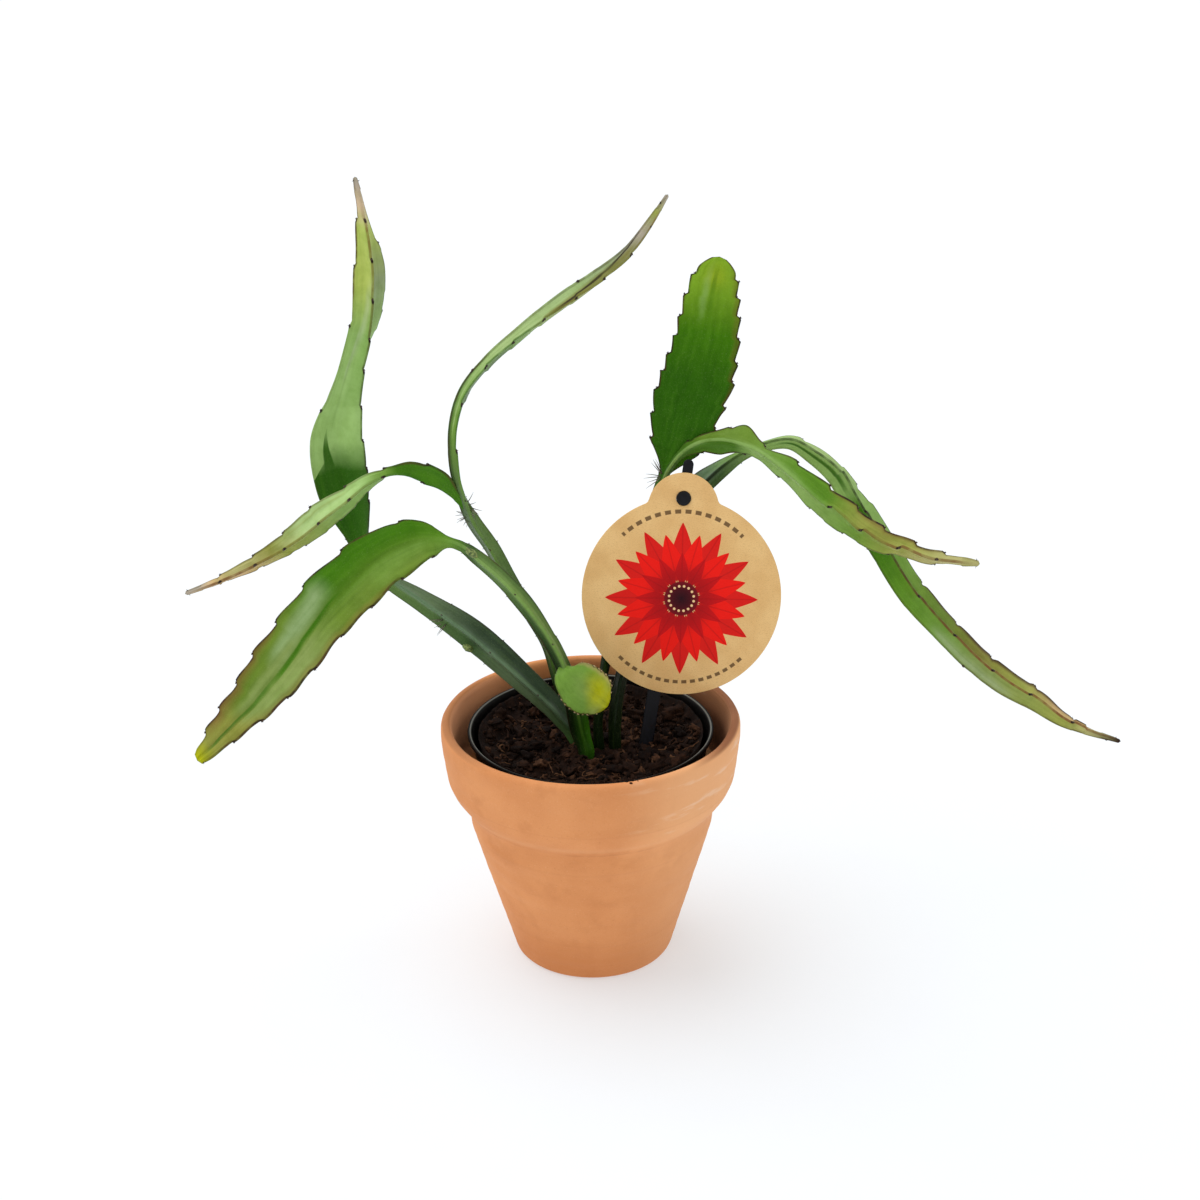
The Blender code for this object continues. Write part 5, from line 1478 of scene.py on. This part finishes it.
def ray_mask(radius, angle, low, wide, tip, half, turn):
    """1 inside a ring of pointed lozenges, and how far from the middle of its lozenge a point is."""
    step = 2 * math.pi / RAY_COUNT
    folded = (angle / step + (turn + 0.5)).math("FRACT") - 0.5
    aside = abs(folded) * (radius * step)
    rising = (radius - low) * (half / (wide - low))
    falling = ((tip - radius) / (tip - wide)).math("MAXIMUM", 0.0).math("POWER", 0.8) * half
    return (rising.math("MINIMUM", falling) - aside).span(0.04, 0.2), aside


def arc_marks(radius, angle, middle, at, tall, pitch):
    """A row of short dashes along an arc of the card."""
    within = abs(angle - middle).math("LESS_THAN", ARC_REACH)
    band = abs(radius - at).span(tall, tall - 0.12)
    dash = abs(((angle - middle) / pitch).math("FRACT") - 0.5).span(0.31, 0.28)
    return within * band * dash


def card_material():
    """Kraft card printed with a star medallion of lozenges between two rows of dashes."""
    shade = Shade("kraft_print", 0.2)
    x, y = shade.attribute("card_x"), shade.attribute("card_y")
    fibre = shade.noise(1.0, 3.0, 0.6, shade.vector(x * 0.9, y * 2.4))
    speck = shade.noise(1.0, 2.0, 0.7, shade.vector(x * 3.2, y * 3.2))
    cloud = shade.noise(1.0, 2.0, 0.5, shade.vector(x * 0.07, y * 0.07))
    shade.colour = shade.mix(cloud.span(0.3, 0.7), (230, 184, 120), (242, 200, 136))
    shade.coat(fibre.span(0.5, 0.72, 0.0, 0.45), (206, 158, 98))
    shade.coat(speck.span(0.55, 0.72, 0.0, 0.6), (168, 124, 74))
    shade.coat(speck.span(0.42, 0.28, 0.0, 0.5), (246, 216, 164))
    low_y = y + 1.0
    radius, angle = distance(x, low_y), low_y.math("ARCTAN2", x)
    for low, wide, tip, half, turn, ink in RAY_LAYERS:
        inside, aside = ray_mask(radius, angle, low, wide, tip, half, turn)
        tint = shade.mix(aside.span(0.0, 0.5, 0.35, 0.0), ink, (150, 12, 18))
        shade.coat(inside, shade.mix(radius.span(8.0, 18.0, 0.55, 0.0), tint, (150, 12, 20)))
    heart = [(0.0, srgb(40, 6, 18)), (0.5, srgb(72, 8, 20)), (1.0, srgb(128, 14, 26))]
    shade.coat(radius.span(7.6, 7.2), shade.ramp(radius / 8.0, heart)[0])
    step = 2 * math.pi / BEAD_COUNT
    bead = ((angle / step).math("FRACT") - 0.5) * step * radius
    shade.coat(distance(bead, radius - BEAD_RING_R).span(0.62, 0.5), (246, 206, 150))
    card_r, card_a = distance(x, y), y.math("ARCTAN2", x)
    upper, lower = (arc_marks(card_r, card_a, *row) for row in DASH_ROWS)
    shade.coat(upper.math("MAXIMUM", lower) * 0.85, (84, 58, 34))
    shade.bump(fibre + speck, 0.25, 0.0002)
    return shade.finish(fibre.span(0.3, 0.7, 0.75, 0.9))


def card():
    hole = arc((0.0, TAG_HOLE_UP), TAG_HOLE_R, 0.0, 2 * math.pi, 41)[:-1]
    points, faces = flat_mesh("card", [tag_outline(), hole], TAG_THICK, 0.18)
    tilt = math.radians(STICK_TILT)
    turn = math.radians(TAG_TURN)
    across = PEG_UP * math.sin(tilt) - TAG_HOLE_UP * math.sin(turn)
    up = PEG_UP * math.cos(tilt) - TAG_HOLE_UP * math.cos(turn)
    depth = STICK_THICK / 2 + GAP + TAG_THICK / 2
    place = tag_plane() @ Matrix.Translation((across, up, depth)) @ Matrix.Rotation(-turn, 4, "Z")
    piece = Piece("picture_tag_fine")
    printed = np.where(points[:, 2] > 0, points[:, 0], points[:, 0] + OFF_CARD)
    piece.add(moved(points, place), faces, card_x=printed, card_y=points[:, 1])
    made = piece.make([card_material()], SHARP_FROM)
    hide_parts("picture_tag")


def camera():
    data = bpy.data.cameras.new("view")
    data.lens = CAMERA_LENS
    data.sensor_width = CAMERA_SENSOR
    made = linked("view", data)
    height = math.radians(CAMERA_HEIGHT)
    back = Vector((0.0, -math.cos(height), math.sin(height))) * CAMERA_DISTANCE
    aim = Matrix.Rotation(math.pi / 2 - height, 4, "X") @ Matrix.Rotation(math.radians(CAMERA_ROLL), 4, "Z")
    made.matrix_world = Matrix.Translation(Vector(CAMERA_AIM) + back) @ aim
    bpy.context.scene.camera = made


def soft_sun():
    """Even light from one side, with soft shadows."""
    data = bpy.data.lights.new("key", "SUN")
    data.energy = KEY_LIGHT
    data.angle = math.radians(KEY_SPREAD)
    linked("key", data).matrix_world = (-Vector(KEY_FROM)).to_track_quat("-Z", "Y").to_matrix().to_4x4()


def studio():
    """White floor that glows a little, white surround and one broad soft light."""
    mesh = bpy.data.meshes.new("floor")
    corners = [(x * FLOOR_HALF, y * FLOOR_HALF, 0) for x, y in ((-1, -1), (1, -1), (1, 1), (-1, 1))]
    mesh.from_pydata(corners, [], [(0, 1, 2, 3)])
    floor = linked("floor", mesh)
    shade = Shade("floor_white", 0.0)
    shade.feed(shade.surface.inputs["Emission Color"], (1.0, 1.0, 1.0, 1.0))
    shade.feed(shade.surface.inputs["Emission Strength"], FLOOR_GLOW)
    shade.colour = shade.mix(shade.noise(40.0, 2.0), FLOOR_ALBEDO, FLOOR_ALBEDO_2)
    mesh.materials.append(shade.finish(0.9))
    world = bpy.data.worlds.new("surround")
    world.use_nodes = True
    surround = world.node_tree.nodes["Background"].inputs
    surround["Color"].default_value = (1.0, 1.0, 1.0, 1.0)
    surround["Strength"].default_value = WORLD_LIGHT
    bpy.context.scene.world = world
    soft_sun()
    bpy.context.scene.view_settings.view_transform = "Standard"


SOIL_RIM_R = soil_room(SOIL_TOP) - 0.2
BALL_SMALL = ball(2)
BALL_LARGE = ball(3)
camera()
studio()
clay_pot()
nursery_pot()
soil()
leafy_stems()
stick()
card()
